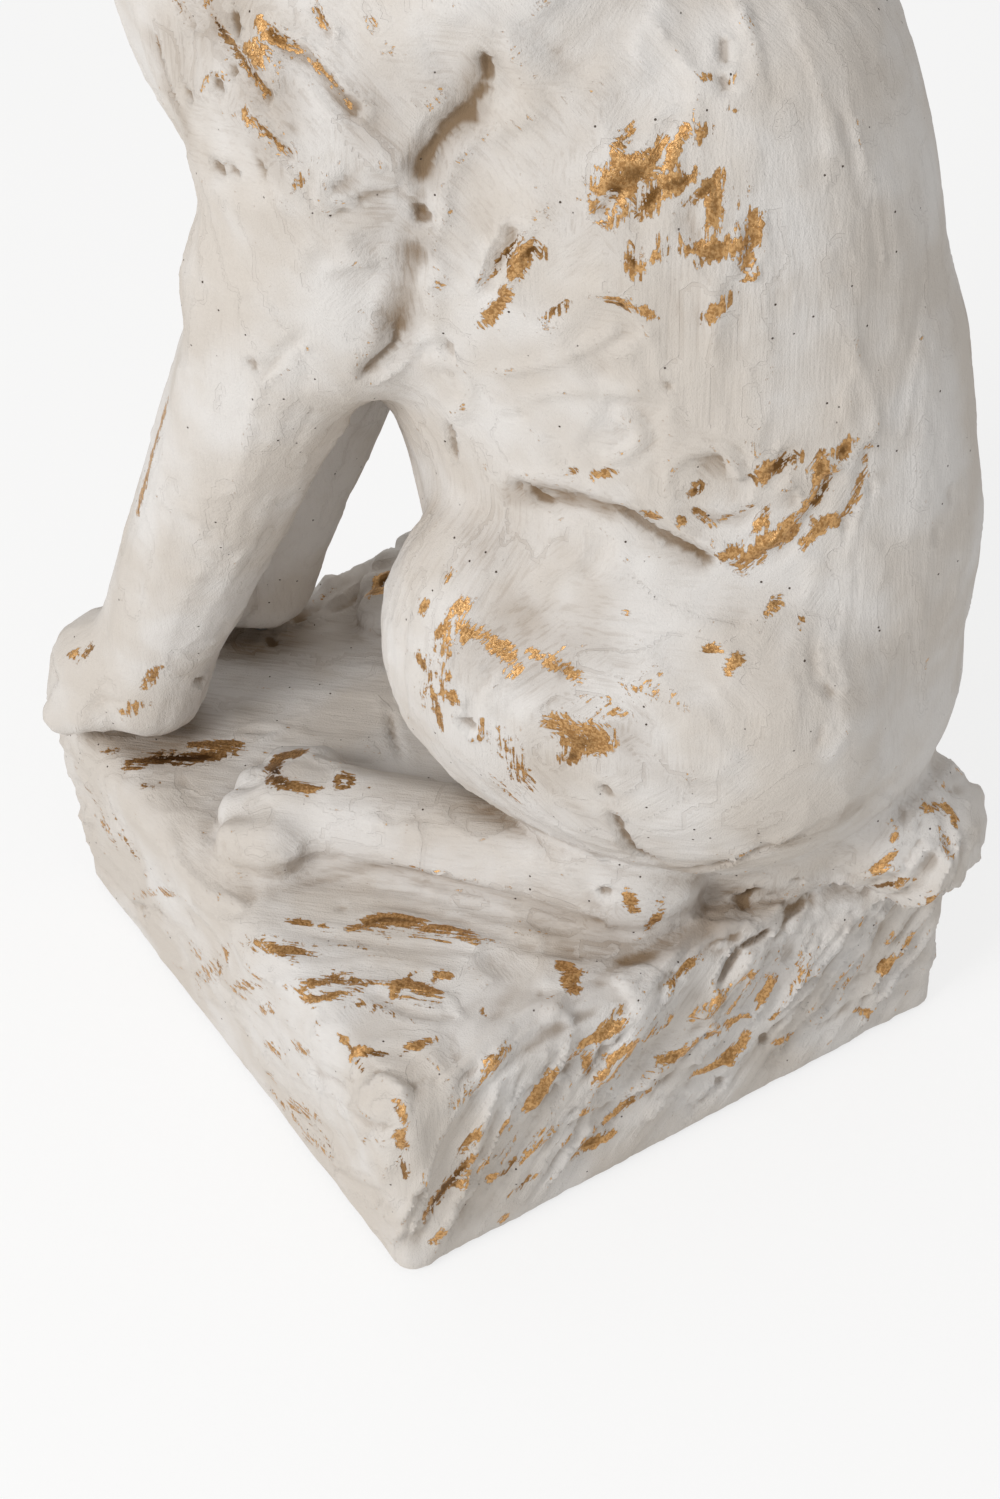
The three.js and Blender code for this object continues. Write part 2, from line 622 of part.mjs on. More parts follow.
// The corners of a seat move out by this much, so that the faces between them clear the piece by FIT.
const SEAT_GROW = FIT * 1.5;
const grownFeet = footSkins.map((s) => solid(grown(s, SEAT_GROW)));
const grownHead = solid(grown(headSkin, SEAT_GROW));
const grownTail = solid(grown(tailSkin, SEAT_GROW));

const legNotches = sides.map((side) => legSpace(side, FIT));
const seats = [...grownFeet, grownTail, solidOf(blockSocket), sleeveBore, ...legNotches];
const torso = largest(
  drilled(
    [...seats, hollow, passage].reduce(
      (piece, cut) => piece.subtract(cut),
      solid(bodySkin).intersect(aboveFloor).subtract(aboveNeck(0)),
    ),
  ),
);
const headShell = drilled(
  [headHollow, sleeveBore, passage].reduce(
    (piece, cut) => piece.subtract(cut),
    solid(headSkin).intersect(aboveNeck(FIT)),
  ),
);

// Plinth, in its own frame: x along its long side

const figureFrame = new THREE.Matrix4()
  .makeRotationZ(rad(FIGURE_TURN))
  .setPosition(FIGURE_AT[0], FIGURE_AT[1], PLINTH_TOP);
const plinthFrame = new THREE.Matrix4().makeRotationZ(rad(PLINTH_TURN));
const fromFigure = plinthFrame.clone().invert().multiply(figureFrame);
const inPlinth = (made) => made.transform(fromFigure.elements.slice());

const UNDERSIDE = FELT_THICK + FIT;

// Outline of the plinth, a given distance outside its plain rectangle, with one side leaning out further.
function outline(out, corner = PLINTH_CORNER, flare = 0) {
  const [x, y] = [PLINTH_LONG / 2 + out - corner, PLINTH_SHORT / 2 + out - corner];
  const points = [];
  [
    [x, y],
    [-x - flare, y],
    [-x - flare, -y],
    [x, -y],
  ].forEach(([cx, cy], side) => {
    for (let i = 0; i <= 4; i++) {
      const turn = (side + i / 4) * (Math.PI / 2);
      points.push([cx + corner * Math.cos(turn), cy + corner * Math.sin(turn)]);
    }
  });
  return points;
}

// The side swells and leans out up to the rim, which rolls in by a quarter turn.
const rimStart = PLINTH_TOP - PLINTH_RIM;
function plinthLevel(z) {
  const share = (z - UNDERSIDE) / (rimStart - UNDERSIDE);
  const corner = PLINTH_CORNER + (PLINTH_CORNER_TOP - PLINTH_CORNER) * share;
  return [z, PLINTH_SWELL * Math.sin((share * Math.PI) / 2), corner, PLINTH_FLARE * share * share];
}
const plinthRing = ([z, ...shape]) => outline(...shape).map(([x, y]) => [x, y, z]);
const rim = [30, 60, 90].map((degrees) => {
  const [, out, corner, flare] = plinthLevel(rimStart);
  const inward = PLINTH_RIM * (1 - Math.cos(rad(degrees)));
  return [rimStart + PLINTH_RIM * Math.sin(rad(degrees)), out - inward, corner, flare];
});
const walls = [0, 0.35, 0.7, 1].map((share) => plinthLevel(UNDERSIDE + (rimStart - UNDERSIDE) * share));
const plinthOuter = loft([...walls, ...rim].map(plinthRing));
const roomLong = PLINTH_LONG - PLINTH_WALL * 2;
const roomShort = PLINTH_SHORT - PLINTH_WALL * 2;
const boardTop = UNDERSIDE + BOARD_THICK;
const ceiling = PLINTH_TOP - PLINTH_DECK;
const slab = (x, y, low, high, at = [0, 0]) =>
  new THREE.BoxGeometry(x, y, high - low).translate(at[0], at[1], (low + high) / 2);
const screwsAt = [1, -1].flatMap((sx) =>
  [1, -1].map((sy) => [(sx * (roomLong - BOSS)) / 2, (sy * (roomShort - BOSS)) / 2]),
);
const cornered = ([x, y]) => [x + Math.sign(x), y + Math.sign(y)];
const room = screwsAt
  .reduce(
    (made, at) => made.subtract(solidOf(slab(BOSS + 2, BOSS + 2, boardTop + FIT, FAR, cornered(at)))),
    solidOf(slab(roomLong, roomShort, boardTop + FIT, ceiling)),
  )
  .add(solidOf(slab(roomLong, roomShort, 0, boardTop + FIT)));

// Countersunk screw standing on its head, or with a grow the hole that takes it.
const screwProfile = (grow) => [
  [0, -grow],
  [SCREW_HEAD / 2 + grow, -grow],
  [SCREW_HEAD / 2 + grow, 0],
  [SCREW_SHANK / 2 + grow, SCREW_SINK],
  [SCREW_SHANK / 2 + grow, SCREW_LENGTH - SCREW_SHANK / 2],
  [0, SCREW_LENGTH + grow],
];
const screwLift = (at) => new THREE.Matrix4().makeTranslation(...at, UNDERSIDE + FIT);
const screwHoles = screwsAt.map((at) => solidOf(lathe(screwProfile(FIT)), screwLift(at)));

const plinthShell = drilled(
  [room, inPlinth(grownTail), ...screwHoles].reduce((piece, cut) => piece.subtract(cut), plinthOuter),
  [...Object.values(dowels), ...studRuns].map((run) => inPlinth(dowelHole(run))),
);

const plugHole = solidOf(cylinder(PLUG_BORE / 2, FAR, 24).translate(...PLUG_AT, 0));
const baseBoard = [plugHole, ...screwHoles].reduce(
  (piece, cut) => piece.subtract(cut),
  solidOf(slab(roomLong - FIT * 2, roomShort - FIT * 2, UNDERSIDE, boardTop)),
);
const plug = lathe(
  [
    [0, -PLUG_FLANGE_THICK],
    [PLUG_FLANGE / 2, -PLUG_FLANGE_THICK],
    [PLUG_FLANGE / 2, 0],
    [PLUG_BORE / 2 - FIT, 0],
    [PLUG_BORE / 2 - FIT, BOARD_THICK],
    [PLUG_BORE / 2 - FIT * 5, BOARD_THICK + 3],
    [0, BOARD_THICK + 3],
  ],
  24,
);

function feltSheet() {
  const sheet = new THREE.Shape(outline(-FELT_INSET).map(([x, y]) => new THREE.Vector2(x, y)));
  const hole = new THREE.Path();
  hole.absarc(...PLUG_AT, PLUG_FLANGE / 2 + 2, 0, Math.PI * 2, true);
  sheet.holes.push(hole);
  return new THREE.ExtrudeGeometry(sheet, { depth: FELT_THICK, bevelEnabled: false, curveSegments: 12 });
}

// Washer or nut: a disc of a number of sides with a hole for the stud, its top at z = 0.
function ringOnStud(radius, thick, ringSides) {
  const disc = new THREE.Shape();
  for (let i = 0; i < ringSides; i++) {
    const turn = (i / ringSides) * Math.PI * 2;
    disc[i ? "lineTo" : "moveTo"](radius * Math.cos(turn), radius * Math.sin(turn));
  }
  const hole = new THREE.Path();
  hole.absarc(0, 0, STUD_RADIUS + FIT, 0, Math.PI * 2, true);
  disc.holes.push(hole);
  const made = new THREE.ExtrudeGeometry(disc, { depth: thick, bevelEnabled: false, curveSegments: 8 });
  return made.translate(0, 0, -thick);
}

// Finishes
const finish = (color, roughness, metalness = 0) =>
  new THREE.MeshStandardMaterial({ color, roughness, metalness });
const PAINTED = finish(0xdad5ca, 0.75);
const STEEL = finish(0x9a9c9e, 0.35, 1);
const TIMBER = finish(0xb98f5c, 0.7);
const FIBREBOARD = finish(0x8a6b4a, 0.8);
const RUBBER = finish(0x1b1b1b, 0.85);
const FELT = finish(0x5a564e, 0.95);

// Assembly
const plinth = new THREE.Group();
plinth.rotation.z = rad(PLINTH_TURN);
const hare = new THREE.Group();
hare.position.set(...FIGURE_AT, PLINTH_TOP);
hare.rotation.z = rad(FIGURE_TURN);
const root = new THREE.Group();
root.add(plinth, hare);

function place(parent, name, shape, material, at = [0, 0, 0]) {
  const mesh = new THREE.Mesh(shape.isBufferGeometry ? shape : geometryOf(shape), material);
  mesh.name = name;
  mesh.position.set(...at);
  parent.add(mesh);
  return mesh;
}

place(plinth, "plinth_shell", plinthShell, PAINTED);
place(plinth, "base_board", baseBoard, FIBREBOARD);
place(plinth, "base_felt", feltSheet(), FELT);
place(plinth, "fill_plug", plug, RUBBER, [...PLUG_AT, UNDERSIDE - FIT]);
screwsAt.forEach((at, i) =>
  place(plinth, `base_screw_${i + 1}`, lathe(screwProfile(0)), STEEL, [...at, UNDERSIDE + FIT]),
);

place(hare, "torso_shell", torso, PAINTED);
place(hare, "head_shell", headShell, PAINTED);
const sleeve = place(hare, "neck_sleeve", neckSleeve, STEEL);
sleeve.applyMatrix4(neckFrame);
place(hare, "anchor_block", anchorBlock, TIMBER);
sides.forEach((side, i) => {
  const name = side > 0 ? "left" : "right";
  const leg = solid(legSkin).intersect(aboveFloor).intersect(legSpace(side, 0));
  place(hare, name + "_foreleg", largest(drilled(leg)), PAINTED);
  place(hare, name + "_hind_foot", drilled(solid(footSkins[i]).intersect(aboveFloor)), PAINTED);
  place(hare, name + "_ear", drilled(ear(side).subtract(grownHead)), PAINTED);
  const [x, y] = studsAt[i];
  place(hare, name + "_stud", cylinderRun(STUD_RADIUS, ...studRuns[i].slice(0, 2)), STEEL);
  const washerTop = -PLINTH_DECK - FIT;
  const nutTop = washerTop - WASHER_THICK - FIT;
  const washer = ringOnStud(WASHER_RADIUS, WASHER_THICK, ROUND_SIDES);
  const nut = ringOnStud(NUT_FLATS / Math.sqrt(3), NUT_THICK, 6);
  place(hare, name + "_stud_washer", washer, STEEL, [x, y, washerTop]);
  place(hare, name + "_stud_nut", nut, STEEL, [x, y, nutTop]);
});
place(hare, "tail", drilled(solid(tailSkin)), PAINTED);
for (const [name, [from, to, radius]] of Object.entries(dowels))
  place(hare, name, cylinderRun(radius, from, to), STEEL);

export default root;
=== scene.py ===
# %% [markdown]
# A seated hare on a square plinth, cast in resin from a model that was pushed together by hand in soft
# clay. What the eye reads is not the outline but the making: flats and hollows left by fingertips, lips of
# pushed-up clay beside them, crumbs, cracks and pinholes, all painted off-white and rubbed back to bronze
# on the ridges. So this lesson builds the surface the way a modeller does. It lays down masses, blends
# them, drags fingers over them, and only then paints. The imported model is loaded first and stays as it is:
# it says where every casting is, and the sculpted pieces take the places of the plain ones.

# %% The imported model
import math

import bpy
import numpy as np
import openvdb
from mathutils import Matrix, Vector
from mathutils.bvhtree import BVHTree


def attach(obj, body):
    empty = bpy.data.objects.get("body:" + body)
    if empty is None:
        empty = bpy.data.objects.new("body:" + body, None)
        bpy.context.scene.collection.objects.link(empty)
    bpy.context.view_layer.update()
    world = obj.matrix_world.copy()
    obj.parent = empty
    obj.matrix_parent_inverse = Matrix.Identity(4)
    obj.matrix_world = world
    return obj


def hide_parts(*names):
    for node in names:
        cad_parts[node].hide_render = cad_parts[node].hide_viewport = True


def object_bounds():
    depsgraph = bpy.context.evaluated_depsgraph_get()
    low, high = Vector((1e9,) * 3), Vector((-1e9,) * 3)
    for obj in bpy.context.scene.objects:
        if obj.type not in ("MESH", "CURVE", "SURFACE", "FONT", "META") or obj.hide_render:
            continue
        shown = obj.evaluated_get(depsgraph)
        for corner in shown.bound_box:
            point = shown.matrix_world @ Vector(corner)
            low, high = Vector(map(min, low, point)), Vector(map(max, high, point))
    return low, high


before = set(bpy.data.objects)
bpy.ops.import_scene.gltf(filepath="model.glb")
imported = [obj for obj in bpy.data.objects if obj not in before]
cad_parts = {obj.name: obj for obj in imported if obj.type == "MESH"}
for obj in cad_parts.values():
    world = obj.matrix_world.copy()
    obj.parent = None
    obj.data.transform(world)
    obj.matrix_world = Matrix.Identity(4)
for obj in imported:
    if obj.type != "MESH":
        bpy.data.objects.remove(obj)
MM = 0.001  # Blender works in metres, the sculpting below in millimetres
cad_box = [[float(v) for v in corner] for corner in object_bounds()]
print("nodes:", len(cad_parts), "box of the packed model:", cad_box)

# %% [markdown]
# The camera stands where the photographer stood: on the hare's left, above its shoulder, looking down by
# about 42 degrees through a 70 mm lens. It is made before the sculpting, because many finger marks are
# placed by the spot where they show in the photograph: a ray from the camera through that spot finds the
# clay.

# %% The camera
PHOTO_SIZE = (1000, 1499)
LENS = 70
eye_at = np.array([656.4, 164.5, 703.3])
look = np.array([-0.7161, -0.1768, -0.6752])
right = np.array([-0.2134, 0.9765, -0.0293])
upward = np.array([-0.6645, -0.1231, 0.7371])
focal_px = LENS / 36 * PHOTO_SIZE[1]

camera_data = bpy.data.cameras.new("photo_camera")
camera_data.lens = LENS
camera_data.sensor_width = 36
camera = bpy.data.objects.new("photo_camera", camera_data)
turn = Matrix((right, upward, -look)).transposed()
camera.matrix_world = Matrix.Translation(Vector(eye_at * MM)) @ turn.to_4x4()
bpy.context.scene.collection.objects.link(camera)
bpy.context.scene.camera = camera


def ray_of(spot):
    """The direction from the camera through a spot of the photograph."""
    way = (
        look + right * (spot[0] - PHOTO_SIZE[0] / 2) / focal_px - upward * (spot[1] - PHOTO_SIZE[1] / 2)
        / focal_px
    )
    return way / np.linalg.norm(way)


# %% [markdown]
# Clay is added in lumps, and a lump is easy to say in numbers: an egg has a middle and three half sizes, a
# limb is a round bar that tapers from one ball to another. Each is written here as a distance, negative
# inside, for many points at once. Two lumps are smeared together by rounding off the valley between them,
# which is what a thumb does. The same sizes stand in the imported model, where the skin over them is coarse;
# here it will be fine.

# %% Lumps of clay
def egg(at, half, nod=0):
    at, half = np.array(at, float), np.array(half, float)
    c, s = math.cos(math.radians(nod)), math.sin(math.radians(nod))

    def distance(p):
        d = p - at
        if nod:
            d = np.stack([d[:, 0], c * d[:, 1] + s * d[:, 2], c * d[:, 2] - s * d[:, 1]], -1)
        near = np.sqrt(((d / half) ** 2).sum(1))
        slope = np.sqrt(((d / half**2) ** 2).sum(1))
        return np.where(slope < 1e-9, -half.min(), near * (near - 1) / np.maximum(slope, 1e-9))

    return distance


def limb(start, end, radii):
    start, end = np.array(start, float), np.array(end, float)
    axis = end - start

    def distance(p):
        share = np.clip((p - start) @ axis / (axis @ axis), 0, 1)
        off = p - start - share[:, None] * axis
        return np.sqrt((off**2).sum(1)) - radii[0] - (radii[1] - radii[0]) * share

    return distance


def smear(k, d, e):
    h = np.maximum(0, k - np.abs(d - e)) / k
    return np.minimum(d, e) - h * h * k / 4


def blend(k, *lumps):
    def distance(p):
        d = lumps[0](p)
        for lump in lumps[1:]:
            d = smear(k, d, lump(p))
        return d

    return distance


def carve(k, lump, tool):
    return lambda p: -smear(k, -lump(p), tool(p))


# %% [markdown]
# The hare's own measurements are taken from its seat: x to its left, y to its back, z up from the plinth's
# top. It is symmetrical but for one forepaw and one knee, which stand back a little, so most lumps are
# written once and mirrored.

# %% The hare in lumps
BOTH = (1, -1)
FAR_PAW_BACK, FAR_KNEE_BACK = 12, 9
EAR_ROOT, EAR_LENGTH, EAR_RUN = (17, -54, 394), 168, (0.125, 0.31, 0.94)


def side_of(at, side, back=0):
    return (at[0] * side, at[1] + back, at[2])


def foreleg(side):
    back = FAR_PAW_BACK if side < 0 else 0
    forearm = limb(side_of((38, -64, 172), side), side_of((30, -121, 42), side, back), (27, 19))
    paw = limb(side_of((29, -128, 23), side, back), side_of((28, -146, 17), side, back), (20, 16.5))
    toes = []
    for off in (-1.5, -0.5, 0.5, 1.5):
        knuckle = side_of((28.5 + off * 8.4, -143, 19 - abs(off) * 2.5), side, back)
        tip = side_of((28.5 + off * 8.8, -158 + abs(off) * 3.4, 9.5), side, back)
        toes.append(limb(knuckle, tip, (8.4, 6.8)))
    instep = egg(side_of((28.5, -141, 27), side, back), (17, 16, 15))
    return blend(10, forearm, blend(5, paw, instep, blend(2.5, *toes)))


trunk = blend(
    16,
    egg((0, 42, 8), (50, 66, 36)),
    egg((0, 61, 64), (62, 63, 70)),
    egg((0, 41, 134), (60, 83, 104)),
    egg((0, 8, 205), (58, 87, 80)),
    egg((0, 35, 232), (56, 69, 68), 10),
    egg((0, -46, 240), (50, 58, 52)),
    egg((0, -70, 270), (42, 50, 60), -6),
    limb((0, -8, 284), (0, -48, 338), (57, 45)),
    *[egg(side_of((40, -44, 232), s), (27, 38, 54), -8) for s in BOTH],
)
skull = blend(
    14,
    egg((0, -72, 368), (38, 50, 41), 16),
    limb((0, -98, 356), (0, -119, 345), (33, 28)),
    *[
        lump for s in BOTH for lump in (
            egg(side_of((21, -84, 346), s), (22, 32, 27)), egg(side_of((25, -90, 380), s), (13, 22, 10))
        )
    ],
)
for s in BOTH:
    skull = carve(4, skull, egg(side_of((46, -97, 367), s), (10, 13, 10)))
skull = carve(3, skull, limb((0, -150, 347), (0, -146, 331), (2.2, 1.6)))
for s in BOTH:
    skull = carve(2.5, skull, limb((0, -145, 332), side_of((19, -129, 329), s), (1.8, 1.2)))
    skull = blend(3, skull, limb(side_of((9, -136, 342), s), side_of((14, -128, 338), s), (12, 11)))
    skull = carve(2, skull, limb(side_of((4.5, -150, 352), s), side_of((8, -146, 355), s), (1.8, 1.4)))
    skull = blend(1.5, skull, egg(side_of((34.5, -97, 367), s), (7, 9, 8)))
    upper = [side_of(at, s) for at in ((36, -107, 366), (41, -98, 375.5), (38, -86, 371))]
    lower = [side_of(at, s) for at in ((36, -107, 364.5), (40.5, -97, 358.5), (37.5, -87, 362.5))]
    for lid, thick in ((upper, 2.6), (lower, 2.0)):
        skull = blend(
            3, skull, limb(lid[0], lid[1], (thick * 0.6, thick)),
            limb(lid[1], lid[2], (thick, thick * 0.6))
        )
haunches = [egg(side_of((44, 38, 76), s), (36, 74, 60), -8) for s in BOTH]
elbows = [egg(side_of((42, -46, 192), s), (23, 26, 32), 20) for s in BOTH]
knees = [egg(side_of((46, -2, 84), s, FAR_KNEE_BACK if s < 0 else 0), (30, 30, 46), 6) for s in BOTH]
trunk_and_haunches = blend(10, trunk, *haunches, *elbows, *knees)
shoulders = [egg(side_of((43, -65, 191), s), (20, 24.5, 25)) for s in BOTH]
rounded = blend(
    10, blend(16, trunk, skull), *haunches, *elbows, *knees, *shoulders, *[foreleg(s) for s in BOTH]
)
SWELL, SWELL_TOP, SWELL_APART = 2.6, 203, 98


def body(p):
    """The hare with its back evened out: fuller at waist and hips, flatter between and under the neck."""
    _, y, z = p.T
    on_back = np.clip((y - 35) / 55, 0, 1) * np.clip((z - 60) / 30, 0, 1) * np.clip((292 - z) / 30, 0, 1)
    return rounded(p) - SWELL * on_back * np.cos(2 * np.pi * (z - SWELL_TOP) / SWELL_APART)


tail = egg((9, 113, 13), (25, 25, 23))


def hind_foot(side):
    toes = []
    for i in range(4):
        off = i - 1.5
        tip = -74 - (17 - abs(off) * 4) + 7.5
        toes.append(
            limb(side_of((57 + off * 11, -66, 8), side), side_of((57 + off * 11, tip, 6), side), (9.5, 7.5))
        )
    heel = egg(side_of((52, 34, 10), side), (19, 30, 21))
    sole = limb(side_of((51, 30, 8), side), side_of((56, -62, 7), side), (18, 16))
    return blend(7, heel, sole, blend(2.5, *toes))


# %% [markdown]
# An ear is neither an egg nor a limb but a long blade, bent across like a leaf. Its distance is worked out
# in the ear's own directions: up its length, out across its width, and back through its thickness. At each
# height the blade has a width, a thickness and a dish, all from one formula, and the leaf's section is
# measured from there.

# %% Ears
EAR_WIDE, EAR_RIM = 23.5, 2.4  # half the width, and half the thickness of the rim, in mm
EAR_TAPER = 123  # the height where it starts to narrow to its tip, in mm
EAR_BELOW = 16  # how far it goes down into the skull
# how deep it is bent, half its thickness, the share lost at the tip
EAR_DISH, EAR_THICK, EAR_THINS = 14, 7, 0.45


def ear(side):
    root = np.array(side_of(EAR_ROOT, side), float)
    up = np.array(side_of(EAR_RUN, side))
    up /= np.linalg.norm(up)
    out = np.array([side, 0.5, 0.0])
    out -= up * (up @ out)
    out /= np.linalg.norm(out)
    back = np.cross(up, out) * side

    def distance(p):
        d = p - root
        h, w, b = d @ up, d @ out, d @ back
        share = np.clip((h + EAR_BELOW) / (EAR_LENGTH + EAR_BELOW), 0, 1)
        wide = EAR_WIDE * (0.42 + 0.58 * np.sin(np.pi / 2 * np.minimum(share / 0.78, 1))) - EAR_RIM
        in_tip = np.maximum(h - EAR_TAPER, 0) / (EAR_LENGTH - 2 * EAR_RIM - EAR_TAPER)
        outline = np.hypot(w, in_tip * wide) - wide
        dish = EAR_DISH * np.sin(np.pi * 0.85 * share)
        u = np.clip(w / EAR_WIDE, -1.15, 1.15)
        b = (b - dish * (0.5 - u * u)) / np.hypot(1, 2 * dish * u / EAR_WIDE)
        middle = 1 - np.clip(1 + outline / wide, 0, 1) ** 2
        half = EAR_RIM + (EAR_THICK * (1 - EAR_THINS * share) - EAR_RIM) * middle
        return np.maximum(np.hypot(np.maximum(outline, 0), b) - half, -EAR_BELOW - h)

    return distance


# %% [markdown]
# The plinth is a slab of the same clay, beaten square and left to swell a little. Its top leans out on one
# side, its upright edges grow rounder as they rise, and its rim rolls over. It is turned by 45 degrees, so
# that a corner lies under the forepaws. Its foot is cut off flat afterwards, with a straight crisp edge, as
# a mould leaves it.

# %% The plinth
PLINTH_TOP, UNDERSIDE = 78, 2.3
PLINTH_LONG, PLINTH_SHORT = 209, 200
RIM = 10  # the radius of the rolled edge round the top
CORNER = (104, 100)  # where its upright edges stand, in its own directions
CORNER_REACH = 70  # how far the strokes turn about the corner under the forepaws
FURROW_SLANT, FURROW_APART, FURROW_END = math.radians(50), 32, 22
FIGURE_AT = np.array([-8, 20, PLINTH_TOP], float)


def turned(degrees):
    c, s = math.cos(math.radians(degrees)), math.sin(math.radians(degrees))
    return np.array([[c, -s, 0], [s, c, 0], [0, 0, 1]])


hare_turn, plinth_turn = turned(-8), turned(45)


def on_hare(lump):
    """A lump given in the hare's own measurements, for points of the whole object."""
    return lambda p: lump((p - FIGURE_AT) @ hare_turn)


def from_hare(point):
    return hare_turn @ np.array(point, float) + FIGURE_AT


def plinth(p, foot=-12.0):
    q = p @ plinth_turn
    rise = np.clip((q[:, 2] - UNDERSIDE) / (PLINTH_TOP - RIM - UNDERSIDE), 0, 1)
    out, lean, corner = 2.5 * np.sin(rise * np.pi / 2), 9 * rise**2, 5 + 8 * rise
    x = np.abs(q[:, 0] + lean / 2) - (PLINTH_LONG / 2 + out + lean / 2 - corner)
    y = np.abs(q[:, 1]) - (PLINTH_SHORT / 2 + out - corner)
    wall = np.hypot(np.maximum(x, 0), np.maximum(y, 0)) + np.minimum(np.maximum(x, y), 0) - corner
    on_x = x > y
    run = np.where(on_x, np.sign(q[:, 0]) * q[:, 1], -np.sign(q[:, 1]) * q[:, 0])
    deep = np.where(on_x, 1.5, np.where(q[:, 1] > 0, 1.3, 0.6))
    ends = np.clip(-np.where(on_x, y, x) / FURROW_END, 0, 1)
    level = np.sqrt(np.sin(np.pi * np.clip((q[:, 2] - UNDERSIDE) / (PLINTH_TOP - UNDERSIDE), 0, 1)))
    phase = (run * math.sin(FURROW_SLANT) - q[:, 2] * math.cos(FURROW_SLANT)) / FURROW_APART
    wall = wall - deep * ends * level * np.sin(2 * np.pi * phase)
    a, b = wall + RIM, q[:, 2] - PLINTH_TOP + RIM
    block = np.hypot(np.maximum(a, 0), np.maximum(b, 0)) + np.minimum(np.maximum(a, b), 0) - RIM
    return np.maximum(block, foot - q[:, 2])


feet = [on_hare(hind_foot(s)) for s in BOTH]
ears = [on_hare(ear(s)) for s in BOTH]
hare_body, hare_tail = on_hare(body), on_hare(tail)
HARE_JOIN, FOOT_JOIN, SEAT_JOIN = 5, 7, 3  # how softly lumps run together, in mm


def everything(p):
    """The whole object as one mass of clay, with softer joins where it was worked longer."""
    d = smear(HARE_JOIN, hare_body(p), hare_tail(p))
    for e in ears:
        d = smear(HARE_JOIN, d, e(p))
    feet_and_plinth = plinth(p)
    for f in feet:
        feet_and_plinth = smear(FOOT_JOIN, feet_and_plinth, f(p))
    return smear(SEAT_JOIN, d, feet_and_plinth)


# %% [markdown]
# A skin is now pulled over the mass. Space is divided in cubes of 3.2 mm, the distance is read at their
# corners, and a mesh of four-sided faces is laid where it changes sign. Only cubes near the surface are
# worth reading, so a coarse pass finds them first. The mesh is then divided once more, and each point is
# slid along the slope of the distance until it lies on the true surface, which takes the steps out.

# %% A skin over the mass
CUBE = 3.2


def skin_over(mass, low, high, step):
    low = np.array(low, float)
    count = np.ceil((np.array(high) - low) / step / 4).astype(int) * 4
    coarse_at = np.stack(np.meshgrid(*[np.arange(n // 4) * 4 + 1.5 for n in count], indexing="ij"), -1)
    coarse = mass(coarse_at.reshape(-1, 3) * step + low).reshape(coarse_at.shape[:3])
    values = np.repeat(np.repeat(np.repeat(coarse, 4, 0), 4, 1), 4, 2)
    near_skin = np.argwhere(np.abs(values) < step * 6)
    for part in np.array_split(near_skin, max(1, len(near_skin) // 200000)):
        values[tuple(part.T)] = mass(part * step + low)
    grid = openvdb.FloatGrid(step * 20)
    grid.copyFromArray(values.astype(np.float32))
    points, quads = grid.convertToQuads(0.0)
    return np.array(points, float) * step + low, np.array(quads, np.int64)


def settle(mass, points, rounds, reach=0.25):
    for _ in range(rounds):
        here = mass(points)
        slope = np.stack([mass(points + e) - here for e in np.eye(3) * reach], -1) / reach
        steep = np.sqrt(np.maximum((slope**2).sum(1), 0.05))
        points = points - slope / steep[:, None] * np.clip(here / steep, -1.5, 1.5)[:, None]
    return points


def divide(points, quads):
    """Each four-sided face in four, over new points in its middle and on its edges."""
    corners = np.stack([quads, np.roll(quads, -1, 1)], -1)
    pairs = np.sort(corners.reshape(-1, 2), 1)
    edges, of_pair = np.unique(pairs, axis=0, return_inverse=True)
    on_edge = (of_pair.reshape(-1, 4) + len(points)).astype(np.int64)
    middle = np.arange(len(quads)) + len(points) + len(edges)
    new_points = np.concatenate([points, points[edges].mean(1), points[quads].mean(1)])
    new_quads = np.stack(
        [np.stack([quads[:, i], on_edge[:, i], middle, on_edge[:, i - 1]], -1) for i in range(4)], 1
    )
    return new_points, new_quads.reshape(-1, 4)


def unit(v):
    return v / np.maximum(np.linalg.norm(v, axis=-1, keepdims=True), 1e-9)


def facing_of(points, quads):
    """The way that each point of a mesh faces, from the faces round it."""
    across = np.cross(points[quads[:, 2]] - points[quads[:, 0]], points[quads[:, 3]] - points[quads[:, 1]])
    total = np.stack(
        [np.bincount(quads.ravel(), np.repeat(across[:, m], 4), len(points)) for m in range(3)], -1
    )
    return unit(total)


reach = np.array([[v / MM for v in corner] for corner in cad_box])
coarse_clay, coarse_faces = skin_over(everything, reach[0] - [12, 12, 22], reach[1] + 12, CUBE)
coarse_clay = settle(everything, coarse_clay, 2)
clay, faces = divide(coarse_clay, coarse_faces)
clay = settle(everything, clay, 1)
outward = facing_of(clay, faces)
print("skin:", len(clay), "points,", len(faces), "faces")

# %% [markdown]
# Everything from here on is done to these points as a hand would do it, so two things are asked again and
# again: which points lie near a place, and which points are the neighbours of one. The first is answered by
# sorting the points into boxes of 8 mm, the second by a table with the eight points that share a face with
# each.

# %% Finding points
BOX = 8.0
box_corner = clay.min(0) - BOX
box_count = ((clay.max(0) - box_corner) / BOX).astype(int) + 2
box_of = ((clay - box_corner) / BOX).astype(int)
box_number = (box_of[:, 0] * box_count[1] + box_of[:, 1]) * box_count[2] + box_of[:, 2]
by_box = np.argsort(box_number, kind="stable")
box_starts = np.searchsorted(box_number[by_box], np.arange(box_count.prod() + 1))


